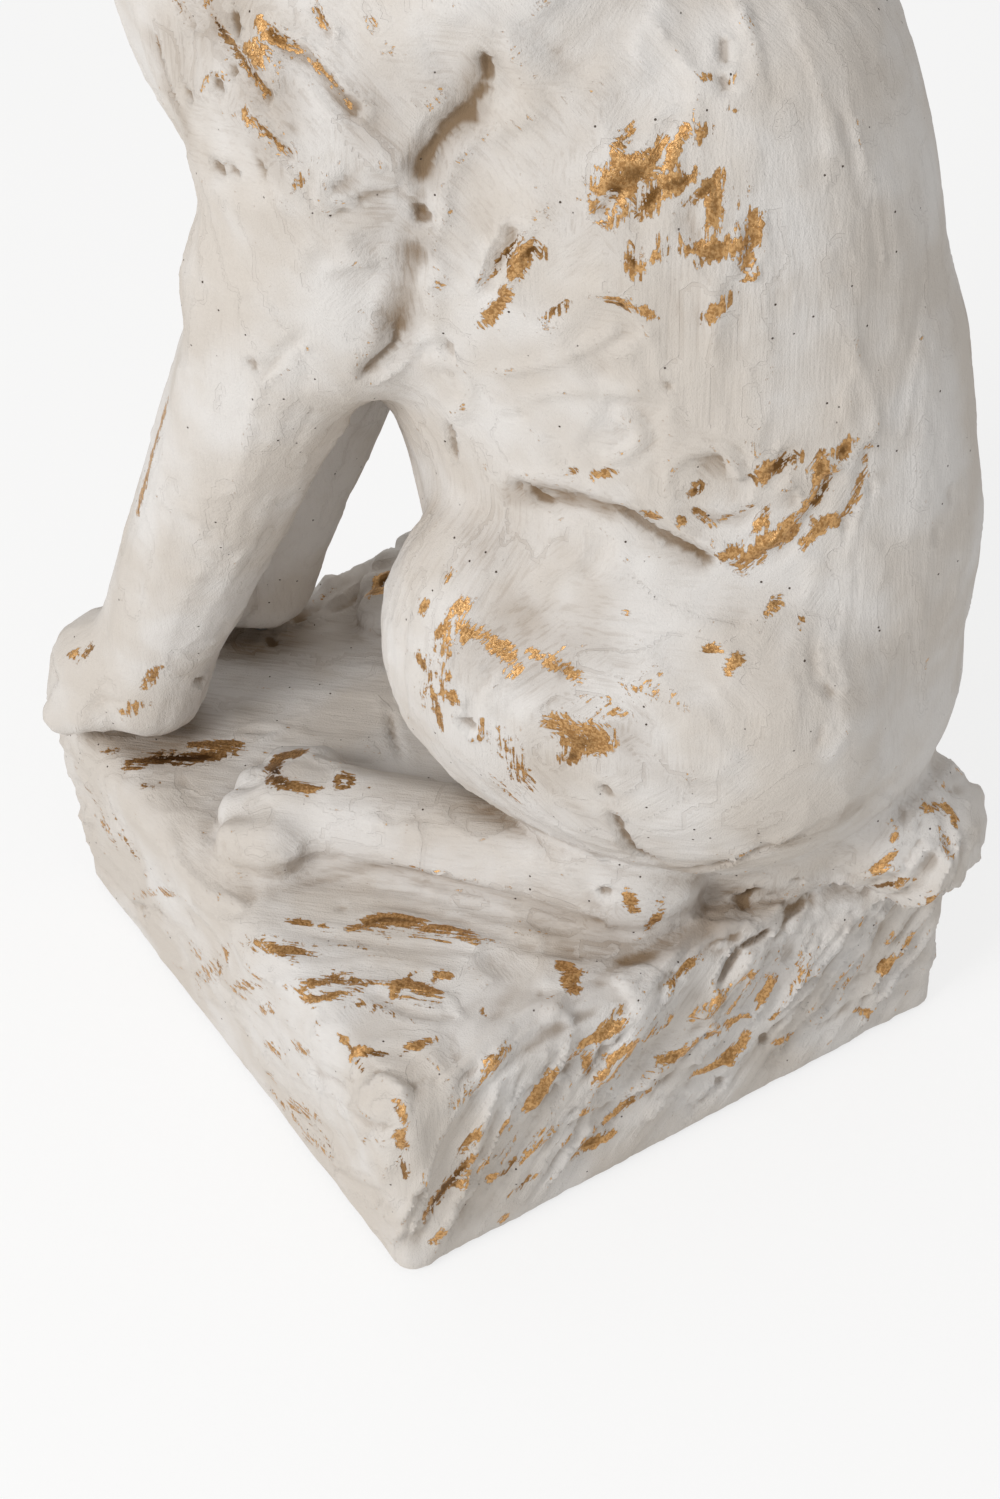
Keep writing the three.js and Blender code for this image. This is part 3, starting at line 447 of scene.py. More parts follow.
def near(low, high):
    """The numbers of the points in the boxes between two corners."""
    a = ((low - box_corner) / BOX).astype(int).clip(0, box_count - 1)
    b = ((high - box_corner) / BOX).astype(int).clip(0, box_count - 1)
    found = []
    for i in range(a[0], b[0] + 1):
        for j in range(a[1], b[1] + 1):
            row = (i * box_count[1] + j) * box_count[2]
            found.append(by_box[box_starts[row + a[2]]:box_starts[row + b[2] + 1]])
    return np.concatenate(found)


def neighbours(quads, count):
    """A table of the points that share a face with each point, itself first, nine in a row."""
    pairs = np.concatenate(
        [np.stack([quads[:, i], quads[:, j]], -1) for i in range(4) for j in range(4) if i != j]
    )
    keys = np.unique(pairs[:, 0] * count + pairs[:, 1])
    first, second = keys // count, keys % count
    place = np.arange(len(keys)) - np.searchsorted(first, first)
    table = np.repeat(np.arange(count)[:, None], 9, 1)
    kept = place < 8
    table[first[kept], place[kept] + 1] = second[kept]
    return table


round_about = neighbours(faces, len(clay))
rows = np.arange(len(clay))


def evened(values, rounds):
    for _ in range(rounds):
        values = values[round_about].mean(1)
    return values


LATTICE = 32  # random values on each side of the cube that they repeat in


def drift(points, size, seed):
    """Smooth random values with one rise or dip about every so many millimetres."""
    lattice = np.random.default_rng(seed).normal(size=(LATTICE, LATTICE, LATTICE))
    at = points / size + 100
    cell = np.floor(at).astype(int)
    part = at - cell
    part = part * part * (3 - 2 * part)
    total = np.zeros(len(points))
    for corner in np.ndindex(2, 2, 2):
        weight = np.prod(np.where(corner, part, 1 - part), 1)
        total += weight * lattice[tuple(((cell + corner) % LATTICE).T)]
    return total


# %% [markdown]
# Each patch of the surface belongs to one part of the hare, and each part was worked in its own way. The
# plinth's sides were pulled up in strong slanting strokes, its top smoothed along the feet, the back
# stroked downward, the haunch rubbed in rings about its middle, and the legs and ears drawn out along their
# length.

# %% Which part each point belongs to
in_hare = (clay - FIGURE_AT) @ hare_turn
in_plinth = clay @ plinth_turn
faces_plinth = outward @ plinth_turn
part_distances = {
    "plinth": plinth(clay),
    "foot": np.minimum(feet[0](clay), feet[1](clay)),
    "tail": hare_tail(clay),
    "ear": np.minimum(ears[0](clay), ears[1](clay)),
    "leg": np.minimum(foreleg(1)(in_hare), foreleg(-1)(in_hare)) + 1,
    "head": skull(in_hare),
    "body": trunk_and_haunches(in_hare),
}
part_names = list(part_distances)
part = np.argmin(np.stack(list(part_distances.values())), 0)
belongs = {name: part == i for i, name in enumerate(part_names)}
side_wall = belongs["plinth"] & (faces_plinth[:, 2] < 0.6)
left_wall = side_wall & (faces_plinth[:, 1] < -0.7)
print({name: int(mask.sum()) for name, mask in belongs.items()})

# %% Which way the hands moved
STROKE_SLANT = {"left": 14, "others": 50}  # degrees above level, on the plinth's sides


def slanted(degrees):
    along = np.stack([-faces_plinth[:, 1], faces_plinth[:, 0], np.zeros(len(clay))], -1)
    angle = np.radians(degrees)[:, None]
    return along * np.cos(angle) + np.array([0, 0, 1.0]) * np.sin(angle)


def ring_way(middle, wide):
    """Rings about a haunch's middle, and how strongly they rule at each point."""
    off = in_hare * [np.sign(middle[0]), 1, 1] - [abs(middle[0]), middle[1], middle[2]]
    weight = np.exp(-((np.linalg.norm(off / wide, axis=1)) ** 4)) * (in_hare[:, 0] * middle[0] > 0)
    return np.stack([np.zeros(len(clay)), -off[:, 2], off[:, 1]], -1), weight


grain = np.tile([0.0, 0.12, -1.0], (len(clay), 1))
for s in BOTH:
    rings, weight = ring_way((44 * s, 38, 76), (60, 76, 66))
    grain = grain * (1 - weight[:, None]) + unit(rings) * weight[:, None]
slow = drift(in_hare, 60, 3)
grain[:, 1] += np.where(in_hare[:, 1] < 20, 0.5, 0.1) + 0.35 * slow
grain[belongs["leg"]] = [0, -0.35, -1]
grain[belongs["foot"]] = [0.1, -1, 0]
grain[belongs["head"]] = [0, 1, 0.35]
grain[belongs["tail"]] = [0.3, 0.6, 1]
grain[belongs["ear"]] = EAR_RUN
grain = grain @ hare_turn.T
slant = np.where(
    faces_plinth[:, 1] < -0.7, STROKE_SLANT["left"], STROKE_SLANT["others"]
) + 9 * drift(clay, 40, 4)
near_corner = np.hypot(in_plinth[:, 0] - CORNER[0], in_plinth[:, 1] + CORNER[1])
near_corner = np.clip(near_corner / CORNER_REACH, 0, 1)
on_top = np.stack([-(in_plinth[:, 1] + CORNER[1]), in_plinth[:, 0] - CORNER[0], np.zeros(len(clay))], -1)
on_top = unit(on_top) * (1 - near_corner[:, None]) + (np.array([0.64, 0.77, 0]) * near_corner[:, None])
wall_way = slanted(slant + 22 * (1 - near_corner))
plinth_way = np.where((faces_plinth[:, 2] > 0.6)[:, None], on_top, wall_way) @ plinth_turn.T
grain[belongs["plinth"]] = plinth_way[belongs["plinth"]]


def laid_flat(ways):
    return unit(ways - outward * (ways * outward).sum(1)[:, None])


grain = laid_flat(grain)


def walk(start, ways, steps, step=1.4, follow=0.5):
    """Goes over the clay along its grain from many points at once; gives the numbers of the points passed."""
    here = start.copy()
    at = clay[here].copy()
    passed = [here]
    for _ in range(steps):
        at = at + ways * step
        ring = round_about[here]
        here = ring[np.arange(len(here)), ((clay[ring] - at[:, None]) ** 2).sum(-1).argmin(1)]
        normal = outward[here]
        at -= normal * ((at - clay[here]) * normal).sum(1)[:, None]
        flow = grain[here] * np.sign((grain[here] * ways).sum(1))[:, None]
        ways = flow * follow + ways * (1 - follow)
        ways = unit(ways - normal * (ways * normal).sum(1)[:, None])
        passed.append(here)
    return np.stack(passed, 1)


# %% [markdown]
# A fingertip dragged through clay leaves a shallow trough with rounded sides, a lip of pushed-up clay on
# each side, higher on the side it leans to, and a small bank where it lifts off. It wipes out what was
# there before. One function does that along any path. A tool mark is a narrow, deep one without wiping, a
# crack narrower still, a hole is a stroke with no length, and a pellet of clay laid on is a stroke with its
# depth turned round.

# %% A press of the finger
THINNEST = 0.62 * CUBE  # half width of the finest mark that the mesh can show
RAGGED = 0.12  # how unevenly a mark's edge runs
ragged = RAGGED * drift(clay, 5, 9)
relief = np.zeros(len(clay))  # how far each point stands out, in millimetres
lipped = np.zeros(len(clay))  # how much of that is a pushed-up lip


def along_path(path, facing, wide, reach):
    """The points beside a path: how far along it, how far off in widths, and on which side."""
    found = near(path.min(0) - wide * reach, path.max(0) + wide * reach)
    found = found[outward[found] @ facing > 0.1]
    run = path[1:] - path[:-1]
    long = np.maximum(np.linalg.norm(run, axis=1), 1e-6)
    away = clay[found][:, None] - path[:-1]
    share = np.clip((away * run).sum(-1) / long**2, 0, 1)
    off = away - share[..., None] * run
    far = (off**2).sum(-1)
    best = far.argmin(1)
    each = np.arange(len(found))
    radial = np.sqrt(far[each, best]) / wide
    way = run[best] / long[best][:, None]
    side = (off[each, best] * np.cross(outward[found], way)).sum(1)
    total = np.concatenate([[0], np.cumsum(long)])
    along = (total[best] + share[each, best] * long[best]) / total[-1]
    keep = radial < reach
    return found[keep], radial[keep], along[keep], np.sign(side[keep]), way[keep]


def smooth(x):
    x = np.clip(x, 0, 1)
    return x * x * (3 - 2 * x)


def press(
    path, facing, wide, deep, lip=0.45, bank=0.8, wipe=0.75, blunt=0.7, lean=0.4, fade=0.25, torn=1.0,
    leave=0.0
):
    wide = max(wide, THINNEST)
    found, radial, along, side, way = along_path(path, facing, wide, 1.8)
    if not len(found):
        return
    radial = radial * (1 + torn * ragged[found])
    inside = np.clip(1 - radial**2, 0, 1)
    strength = smooth((along + 0.02) / fade) if fade else np.ones(len(found))
    if leave:
        strength = strength * smooth((1.02 - along) / leave)
    lips = np.exp(-(((radial - 1.12) / 0.27) ** 2)) * (1 + lean * side) * (1 + bank * (along > 0.985))
    keep = 1 - wipe * smooth(inside * 2) * strength
    change = abs(deep) * lip * lips - deep * inside**blunt
    relief[found] = relief[found] * keep + change * strength
    lipped[found] = lipped[found] * keep + abs(deep) * lip * lips * strength
    turned_way = (inside > 0.15)[:, None]
    grain[found] = np.where(turned_way, way, grain[found])


# %% [markdown]
# First the hands went all over it. Strokes start at random points, more of them where the clay was worked
# more, follow the grain of that part, and are as wide and deep as that part shows. The seed is fixed, so
# that the hare comes out the same each time.

# %% The hands all over
rng = np.random.default_rng(617)
HANDLING = [  # part, strokes for 100 square centimetres, half width, depth, length, all in mm
    ("body", 20, 8.0, 0.55, 60), ("body", 16, 3.0, 0.3, 44),
    ("leg", 22, 6.0, 0.45, 44), ("leg", 14, 2.8, 0.22, 30),
    ("foot", 26, 4.8, 0.45, 30), ("foot", 20, 2.7, 0.25, 20),
    ("tail", 30, 5.5, 0.7, 26), ("tail", 20, 2.7, 0.3, 16),
    ("head", 40, 4.2, 0.36, 22), ("head", 24, 2.5, 0.2, 14),
    ("ear", 24, 5.5, 0.45, 56), ("ear", 20, 2.7, 0.2, 34),
    ("left wall", 22, 6.0, 0.4, 34), ("left wall", 44, 2.6, 0.35, 16),
    ("wall", 34, 5.0, 1.7, 60), ("wall", 60, 2.8, 1.0, 50),
    ("top", 20, 6.0, 0.5, 50), ("top", 34, 2.7, 0.32, 40),
]
worked = {name: belongs[name] for name in ("body", "leg", "foot", "tail", "head", "ear")}
worked["left wall"] = left_wall
worked["wall"] = side_wall & ~left_wall
worked["top"] = belongs["plinth"] & ~side_wall
MM2_PER_POINT = (CUBE / 2) ** 2

starts, sizes = [], []
for name, density, half_width, depth, length in HANDLING:
    mine = np.flatnonzero(worked[name])
    count = int(len(mine) * MM2_PER_POINT / 10000 * density)
    for number in rng.choice(mine, count):
        size = rng.uniform(0.6, 1.35)
        starts.append(number)
        sizes.append(
            (half_width * size, depth * rng.uniform(0.5, 1.4) * size**0.5, length * rng.uniform(0.5, 1.4))
        )
order = np.lexsort((rng.random(len(starts)), -np.round(np.array(sizes)[:, 0] / 2)))
starts, sizes = np.array(starts)[order], np.array(sizes)[order]
heading = grain[starts] * rng.choice([-1, 1], len(starts), p=[0.35, 0.65])[:, None]
heading = unit(heading + np.cross(outward[starts], heading) * rng.normal(0, 0.13, len(starts))[:, None])
STEP = 1.4
trails = walk(starts, heading, int(sizes[:, 2].max() / STEP), STEP, follow=0.25)
for trail, (half_width, depth, length) in zip(trails, sizes):
    path = clay[trail[:max(5, int(length / STEP)):4]]
    if rng.random() < 0.18:
        depth = -0.6 * depth
    lip = rng.uniform(0.15, 0.6) if depth > 0 else 0
    wipe = 0.75 if half_width > 4 else 0.15
    lean, bank = rng.uniform(-0.8, 0.8), rng.uniform(0, 1.2)
    press(path, outward[trail[0]], half_width, depth, lip=lip, lean=lean, bank=bank, wipe=wipe)
print("strokes all over:", len(starts))

# %% [markdown]
# Then come the marks that make this hare that one: where the photograph shows a groove, a fold, a hole or a
# pellet of clay, it is made there. A mark is a short line of spots in the photograph, each with its width
# there in pixels and its depth in millimetres. A ray through each spot finds the clay, so the marks lie on
# the surface from any side. The photograph shows one side only, so the same marks are made on the far side
# too, mirrored on the hare and turned half round on the plinth, a little shifted.

# %% Marks by their spots in the photograph
sheet = BVHTree.FromPolygons(coarse_clay.tolist(), coarse_faces.tolist())
PX_TO_MM = 1 / 3.05
MARK_SHIFT, RUB_SHIFT = 4, 7  # how far the far side's marks and rubbed places stray, in mm
FAR_DEPTH = 0.85  # how deep a far mark is, as a share of the seen one


def bent_line(spots, pieces):
    """A smooth line through the spots."""
    spots = np.array(spots, float)
    ends = np.concatenate([[2 * spots[0] - spots[1]], spots, [2 * spots[-1] - spots[-2]]])
    line = []
    for a, b, c, d in zip(ends, ends[1:], ends[2:], ends[3:]):
        for t in np.arange(pieces) / pieces:
            line.append(
                (
                    (2 * b) + (c - a) * t + (2 * a - 5 * b + 4 * c - d) * t**2 + (3 * b - a - 3 * c + d)
                    * t**3
                ) / 2
            )
    return np.array(line + [spots[-1]])


def on_clay(spots):
    """The path of a line of spots over the clay, and the way that the clay faces there."""
    hits, normals = [], []
    for spot in bent_line(spots, 4):
        hit, normal, _, _ = sheet.ray_cast(eye_at.tolist(), ray_of(spot).tolist())
        if hit is None or (hits and np.linalg.norm(np.array(hit) - hits[-1]) > 25):
            continue
        if not hits or np.linalg.norm(np.array(hit) - hits[-1]) > 0.8:
            hits.append(np.array(hit))
            normals.append(np.array(normal))
    if len(hits) == 1:
        hits.append(hits[0] + 0.5 * grain[nearest(hits[0])])
    return (np.array(hits), unit(np.mean(normals, 0))) if hits else (None, None)


def nearest(point, reach=16):
    found = near(point - reach, point + reach)
    return found[((clay[found] - point) ** 2).sum(1).argmin()] if len(found) else None


def far_side(path, shift):
    """The same path on the side that the photograph doesn't show."""
    first = nearest(path[0])
    if belongs["plinth"][first]:
        moved = (path + [0, 0, shift[2] / 3]) * [-1, -1, 1]
    else:
        hare_path = (path - FIGURE_AT) @ hare_turn
        if abs(hare_path[:, 0]).max() < 6:
            return None, None
        moved = (hare_path * [-1, 1, 1] + shift) @ hare_turn.T + FIGURE_AT
    numbers = [nearest(p) for p in moved]
    numbers = [n for n in numbers if n is not None]
    if len(numbers) < 2:
        return None, None
    found = clay[numbers]
    apart = np.linalg.norm(np.diff(found, axis=0), axis=1) > 0.5
    found = found[np.concatenate([[True], apart])]
    return (found, unit(outward[numbers].mean(0))) if len(found) > 1 else (None, None)


def placed(marks, steepest=9.0, **how):
    for width, deep, *spots in marks:
        deep = min(deep, steepest * max(width / 2 * PX_TO_MM, THINNEST))
        path, facing = on_clay(spots)
        if path is None:
            continue
        press(path, facing, width / 2 * PX_TO_MM, deep, **how)
        shift = rng.normal(0, MARK_SHIFT, 3) * [0, 1, 1]
        path, facing = far_side(path, shift)
        if path is not None:
            press(path, facing, width / 2 * PX_TO_MM, deep * FAR_DEPTH, **how)


# %% [markdown]
# The broad forms come first: hollows and folds a thumb wide and more.

# %% Hollows and folds
HOLLOWS = [  # width in pixels, depth in millimetres, spots
    (60, 2.2, (512, 1100), (528, 1062), (545, 1040)),
    (50, 2.0, (560, 1045), (585, 1022), (608, 1005)),
    (46, 1.8, (635, 1062), (665, 1045), (690, 1036)),
    (52, 2.0, (672, 1010), (700, 985), (722, 962)),
    (40, 1.6, (655, 930), (700, 905), (735, 880)),
    (60, 1.5, (610, 900), (575, 905), (540, 900)),
    (46, 1.6, (480, 1030), (505, 1000), (520, 975), (500, 957)),
    (50, 1.2, (433, 1067), (440, 1120), (450, 1170)),
    (44, 1.3, (167, 808), (183, 855), (212, 882), (240, 897)),
    (56, 1.5, (170, 905), (195, 925), (215, 950)),
    (40, 1.3, (245, 985), (275, 1000), (300, 1020)),
    (70, 1.6, (190, 130), (215, 150), (240, 165)),
    (60, 1.8, (330, 165), (350, 200), (400, 205)),
    (48, 2.0, (345, 305), (372, 285), (398, 290), (402, 320)),
    (44, 1.6, (362, 262), (388, 250), (408, 262)),
    (34, 2.0, (486, 66), (472, 108), (440, 140), (424, 175), (420, 205)),
    (30, 1.6, (418, 212), (412, 250), (402, 300), (396, 345), (372, 372)),
    (34, 1.5, (520, 486), (570, 500), (630, 522), (700, 560)),
    (70, 1.6, (420, 60), (455, 55), (480, 80)),
    (64, 1.5, (540, 60), (575, 40), (600, 20)),
    (56, 1.3, (640, 70), (660, 95), (640, 115)),
    (46, 1.3, (560, 325), (585, 318), (612, 326)),
    (50, 1.0, (580, 255), (565, 275), (550, 300)),
    (60, 1.6, (688, 458), (715, 470), (728, 495), (712, 508)),
    (60, 1.4, (585, 425), (610, 440), (632, 425)),
    (54, 1.4, (650, 565), (690, 580), (735, 590), (780, 575)),
    (56, 1.3, (845, 515), (865, 490), (880, 462)),
    (50, 1.2, (660, 672), (680, 662), (700, 670)),
    (44, 1.4, (805, 640), (822, 680), (818, 740)),
    (60, 1.0, (620, 610), (560, 612), (500, 640)),
    (44, 1.2, (945, 470), (952, 510), (948, 560), (940, 600)),
    (40, 1.0, (868, 170), (880, 260), (878, 340)),
    (46, 1.1, (905, 330), (900, 430), (892, 520)),
    (60, 1.1, (800, 300), (812, 380), (800, 440)),
    (50, 1.4, (640, 890), (690, 890), (740, 882)),
    (46, 1.6, (800, 900), (830, 905), (860, 900)),
    (40, 1.0, (270, 765), (292, 762), (318, 770)),
]
FOLDS = [  # a ridge left between two strokes: a negative depth
    (18, -1.5, (512, 494), (530, 478), (560, 482), (600, 492), (635, 505)),
    (16, -1.2, (600, 462), (628, 452), (640, 432), (622, 418)),
    (14, -1.3, (668, 502), (668, 470), (690, 452), (725, 450), (738, 475)),
    (16, -1.2, (500, 296), (512, 262), (527, 228), (540, 210)),
    (12, -1.0, (487, 372), (530, 366), (575, 352), (612, 332)),
    (14, -0.9, (520, 398), (580, 388), (640, 392)),
    (20, -1.2, (400, 880), (453, 884), (533, 903), (590, 917), (640, 925)),
    (14, -1.3, (608, 1052), (618, 1030), (640, 1012), (655, 995)),
    (12, -1.1, (440, 1085), (480, 1050), (530, 1010), (590, 985)),
    (12, -1.0, (455, 1130), (475, 1095), (505, 1060)),
    (12, -1.0, (772, 1030), (800, 1000), (830, 970), (848, 938)),
    (12, -1.0, (800, 1022), (828, 995), (858, 955), (872, 925)),
    (12, -1.0, (742, 1050), (770, 1010), (790, 965), (800, 935)),
    (14, -0.8, (262, 955), (320, 965), (380, 960), (450, 975)),
    (12, -0.8, (300, 1010), (350, 990), (400, 985), (450, 1000)),
    (12, -0.7, (232, 735), (255, 724), (290, 730), (262, 738), (232, 735)),
    (16, -0.9, (165, 822), (180, 865), (208, 892), (240, 905)),
    (10, -0.7, (346, 168), (325, 180), (320, 205), (350, 204)),
    (16, -1.0, (366, 828), (378, 820), (392, 832)),
    (16, -0.9, (398, 835), (410, 826), (420, 838)),
    (14, -0.9, (120, 935), (150, 955), (185, 965)),
    (18, -0.9, (420, 372), (440, 358), (466, 372), (466, 402), (455, 415)),
    (12, -0.8, (180, 508), (200, 516), (202, 535)),
    (14, -0.8, (850, 560), (846, 610), (838, 660)),
    (12, -0.8, (868, 470), (858, 520), (848, 560)),
]
placed(HOLLOWS, lip=0.3, bank=0.2, wipe=0.7, fade=0.3)
placed(FOLDS, lip=0, wipe=0.55, fade=0.2, blunt=1.0)

# %% [markdown]
# Next the strokes of a finger or a tool, narrower and deeper, and the seams where one lump of clay was
# pressed against another, which show as dark lines.

# %% Strokes, seams and holes
STROKES = [
    (26, 1.6, (437, 1190), (452, 1150), (475, 1105), (515, 1062), (560, 1030)),
    (24, 1.5, (470, 1215), (490, 1170), (520, 1130), (556, 1095)),
    (24, 1.5, (520, 1190), (550, 1150), (590, 1120), (640, 1098)),
    (22, 1.4, (560, 1160), (600, 1135), (660, 1100), (720, 1070)),
    (24, 1.7, (610, 1120), (660, 1090), (720, 1055), (745, 1025)),
    (24, 1.7, (735, 1060), (765, 1020), (785, 975), (792, 945)),
    (24, 1.8, (785, 1040), (812, 1000), (838, 960), (855, 930)),
    (26, 2.2, (848, 1012), (858, 988), (874, 966), (884, 935), (897, 910)),
    (20, 1.6, (868, 1010), (898, 990), (922, 975)),
    (20, 1.5, (800, 1045), (835, 1020), (870, 1000)),
    (22, 1.3, (560, 1000), (600, 975), (650, 950), (700, 930)),
    (22, 1.4, (640, 1010), (670, 985), (690, 955), (712, 935)),
    (18, 1.3, (797, 902), (812, 896), (815, 915), (802, 935), (790, 960)),
    (18, 1.1, (340, 905), (400, 905), (470, 925), (530, 945)),
    (16, 0.9, (270, 925), (330, 935), (400, 945), (470, 950)),
    (18, 1.0, (360, 985), (410, 1010), (450, 1015)),
    (16, 1.0, (265, 890), (320, 878), (380, 872), (440, 880), (520, 900), (600, 922)),
    (20, 1.4, (206, 0), (214, 30), (232, 55), (250, 78), (264, 96)),
    (22, 1.6, (258, 24), (282, 45), (302, 56), (320, 74), (336, 95), (352, 112)),
    (18, 1.3, (306, 0), (318, 18), (326, 32)),
    (16, 1.2, (244, 114), (262, 132), (290, 156)),
    (16, 1.2, (154, 38), (166, 80), (176, 102)),
    (16, 1.1, (174, 0), (184, 14), (190, 26)),
    (20, 1.3, (480, 305), (495, 270), (512, 236)),
    (18, 1.0, (650, 170), (662, 145), (672, 125)),
    (18, 1.0, (700, 190), (690, 220), (696, 240)),
    (16, 1.0, (748, 215), (752, 245), (745, 270)),
    (20, 1.2, (680, 512), (720, 522), (755, 515), (790, 500)),
    (22, 1.3, (740, 575), (780, 555), (812, 520), (832, 482)),
    (18, 1.1, (836, 530), (856, 500), (868, 455)),
    (18, 1.0, (760, 512), (775, 480), (790, 455)),
    (16, 1.0, (412, 230), (425, 215), (422, 195)),
    (14, 0.9, (310, 330), (285, 352), (262, 380)),
    (14, 0.9, (620, 185), (606, 205), (600, 215)),
    (16, 0.9, (920, 232), (922, 290), (912, 350), (898, 430)),
    (14, 0.9, (862, 160), (872, 210), (878, 262)),
    (14, 0.8, (835, 90), (850, 140), (862, 200)),
    (16, 0.9, (505, 655), (480, 690), (470, 730)),
    (14, 0.8, (420, 575), (405, 620), (402, 680), (410, 740)),
    (16, 0.9, (390, 570), (386, 610), (392, 660)),
    (14, 0.8, (880, 780), (900, 800), (905, 840)),
    (16, 1.0, (930, 790), (945, 815), (950, 850)),
    (14, 0.9, (100, 770), (112, 810), (130, 850)),
    (16, 0.8, (275, 1090), (300, 1120), (330, 1150)),
]
SEAMS = [  # dark lines between two lumps
    (13, 1.3, (486, 60), (484, 85), (470, 108), (447, 130), (428, 160), (420, 190), (424, 212)),
    (12, 0.9, (325, 226), (345, 208), (372, 197), (402, 196), (420, 208), (426, 224)),
    (13, 1.3, (398, 318), (396, 345), (374, 368), (356, 386)),
    (13, 2.2, (512, 496), (524, 482), (540, 500), (560, 505)),
    (13, 2.0, (604, 496), (625, 514), (655, 535), (690, 552), (730, 572)),
    (13, 2.2, (617, 818), (625, 842), (648, 858), (672, 868)),
    (12, 1.8, (672, 868), (720, 866), (760, 852), (800, 835), (850, 808)),
    (11, 1.5, (822, 618), (815, 655), (820, 678), (832, 694), (852, 697), (876, 696)),
    (12, 1.6, (388, 700), (395, 740), (410, 775), (440, 800)),
    (11, 1.0, (830, 880), (850, 892), (880, 897), (920, 893)),
    (11, 1.0, (85, 716), (102, 703), (132, 704)),
    (10, 0.7, (237, 874), (313, 861), (363, 863), (420, 872), (500, 895)),
    (10, 0.7, (236, 828), (222, 845), (232, 866), (262, 872)),
    (10, 0.6, (213, 800), (190, 792), (180, 775)),
    (10, 0.6, (570, 655), (560, 672), (566, 690)),
    (10, 0.6, (700, 960), (716, 940), (738, 926)),
    (9, 0.5, (440, 150), (446, 158), (452, 176)),
    (9, 0.6, (495, 415), (510, 418), (530, 412)),
    (9, 0.4, (580, 99), (592, 98), (604, 102)),
    (9, 0.5, (769, 93), (772, 105), (766, 118)),
]
HOLES = [
    (15, 4.5, (724, 985), (731, 972), (740, 956)),
    (14, 3.2, (742, 952), (756, 942), (768, 932)),
    (13, 4.0, (744, 902), (752, 893), (762, 890)),
    (8, 2.2, (706, 924), (716, 921)),
    (7, 2.0, (604, 893), (608, 893)),
    (11, 3.2, (606, 791), (608, 798)),
    (12, 3.4, (614, 818), (620, 830)),
    (6, 2.0, (765, 1040), (770, 1046)),
    (6, 1.8, (772, 1062), (775, 1066)),
    (6, 1.8, (719, 1080), (722, 1084)),
    (6, 1.6, (776, 1078), (779, 1080)),
    (6, 1.4, (690, 1107), (693, 1109)),
    (6, 1.4, (706, 1100), (709, 1102)),
    (6, 1.4, (682, 1120), (686, 1123)),
    (6, 1.8, (419, 1198), (424, 1199)),
    (8, 2.2, (137, 907), (146, 911)),
    (8, 2.0, (156, 912), (164, 916)),
    (6, 1.4, (184, 916), (188, 926)),
    (6, 1.6, (202, 1002), (206, 1006)),
    (11, 3.4, (212, 84), (218, 88)),
    (7, 2.4, (226, 68), (230, 72)),
    (10, 3.2, (182, 90), (188, 96)),
    (13, 3.2, (230, 14), (234, 32)),
    (12, 3.6, (210, 168), (217, 172)),
    (7, 2.4, (226, 172), (231, 176)),
    (6, 1.8, (257, 168), (261, 173)),
    (13, 3.6, (484, 64), (486, 76)),
    (13, 3.4, (422, 212), (425, 220)),
    (12, 3.0, (450, 428), (453, 455)),
    (6, 1.8, (448, 345), (451, 355)),
    (6, 2.0, (251, 365), (254, 369)),
    (7, 2.4, (268, 636), (272, 640)),
    (6, 1.8, (199, 679), (203, 682)),
    (6, 2.0, (54, 672), (58, 680)),
    (8, 2.2, (462, 722), (470, 727)),
    (8, 2.2, (870, 484), (874, 492)),
    (8, 2.0, (846, 520), (848, 530)),
    (7, 2.0, (950, 490), (952, 500)),
    (6, 1.8, (937, 530), (939, 540)),
    (6, 1.8, (723, 42), (725, 60)),
    (6, 1.8, (723, 78), (725, 86)),
    (7, 1.8, (830, 688), (834, 694)),
    (6, 1.6, (823, 730), (820, 745)),
    (6, 1.5, (854, 915), (858, 916)),
    (6, 1.6, (796, 880), (800, 882)),
    (6, 1.6, (666, 386), (668, 390)),
    (6, 1.4, (340, 905), (344, 906)),
]
placed(STROKES, lip=0.5, bank=0.8, wipe=0.5, fade=0.3)
placed(SEAMS, lip=0.4, bank=0, wipe=0.1, fade=0.3, blunt=0.8, torn=2.6, leave=0.35)
placed(HOLES, steepest=1.4, lip=0.18, bank=0, wipe=0.2, fade=0, blunt=0.8, lean=0.8)
print("placed marks:", len(HOLLOWS) + len(FOLDS) + len(STROKES) + len(SEAMS) + len(HOLES))

# %% [markdown]
# The brush that laid the paint on left its own fine lines in it. They are made by scattering random heights
# over the points and smoothing them along the grain only, so that they run on for a couple of centimetres
# and stay less than 2 mm wide. The same values later decide where the rubbing broke through the paint,
# because a cloth takes the tops of such lines first.

# %% Brush lines
BRUSH_STEPS = 9
speck = rng.normal(size=len(clay))
lines = speck.copy()
for direction in BOTH:
    lines += speck[walk(rows, grain * direction, BRUSH_STEPS, STEP, follow=0.6)[:, 1:]].sum(1)
lines /= math.sqrt(2 * BRUSH_STEPS + 1)
lines = evened(lines, 1) * 1.6
lines = np.clip(lines, -2.5, 2.5)

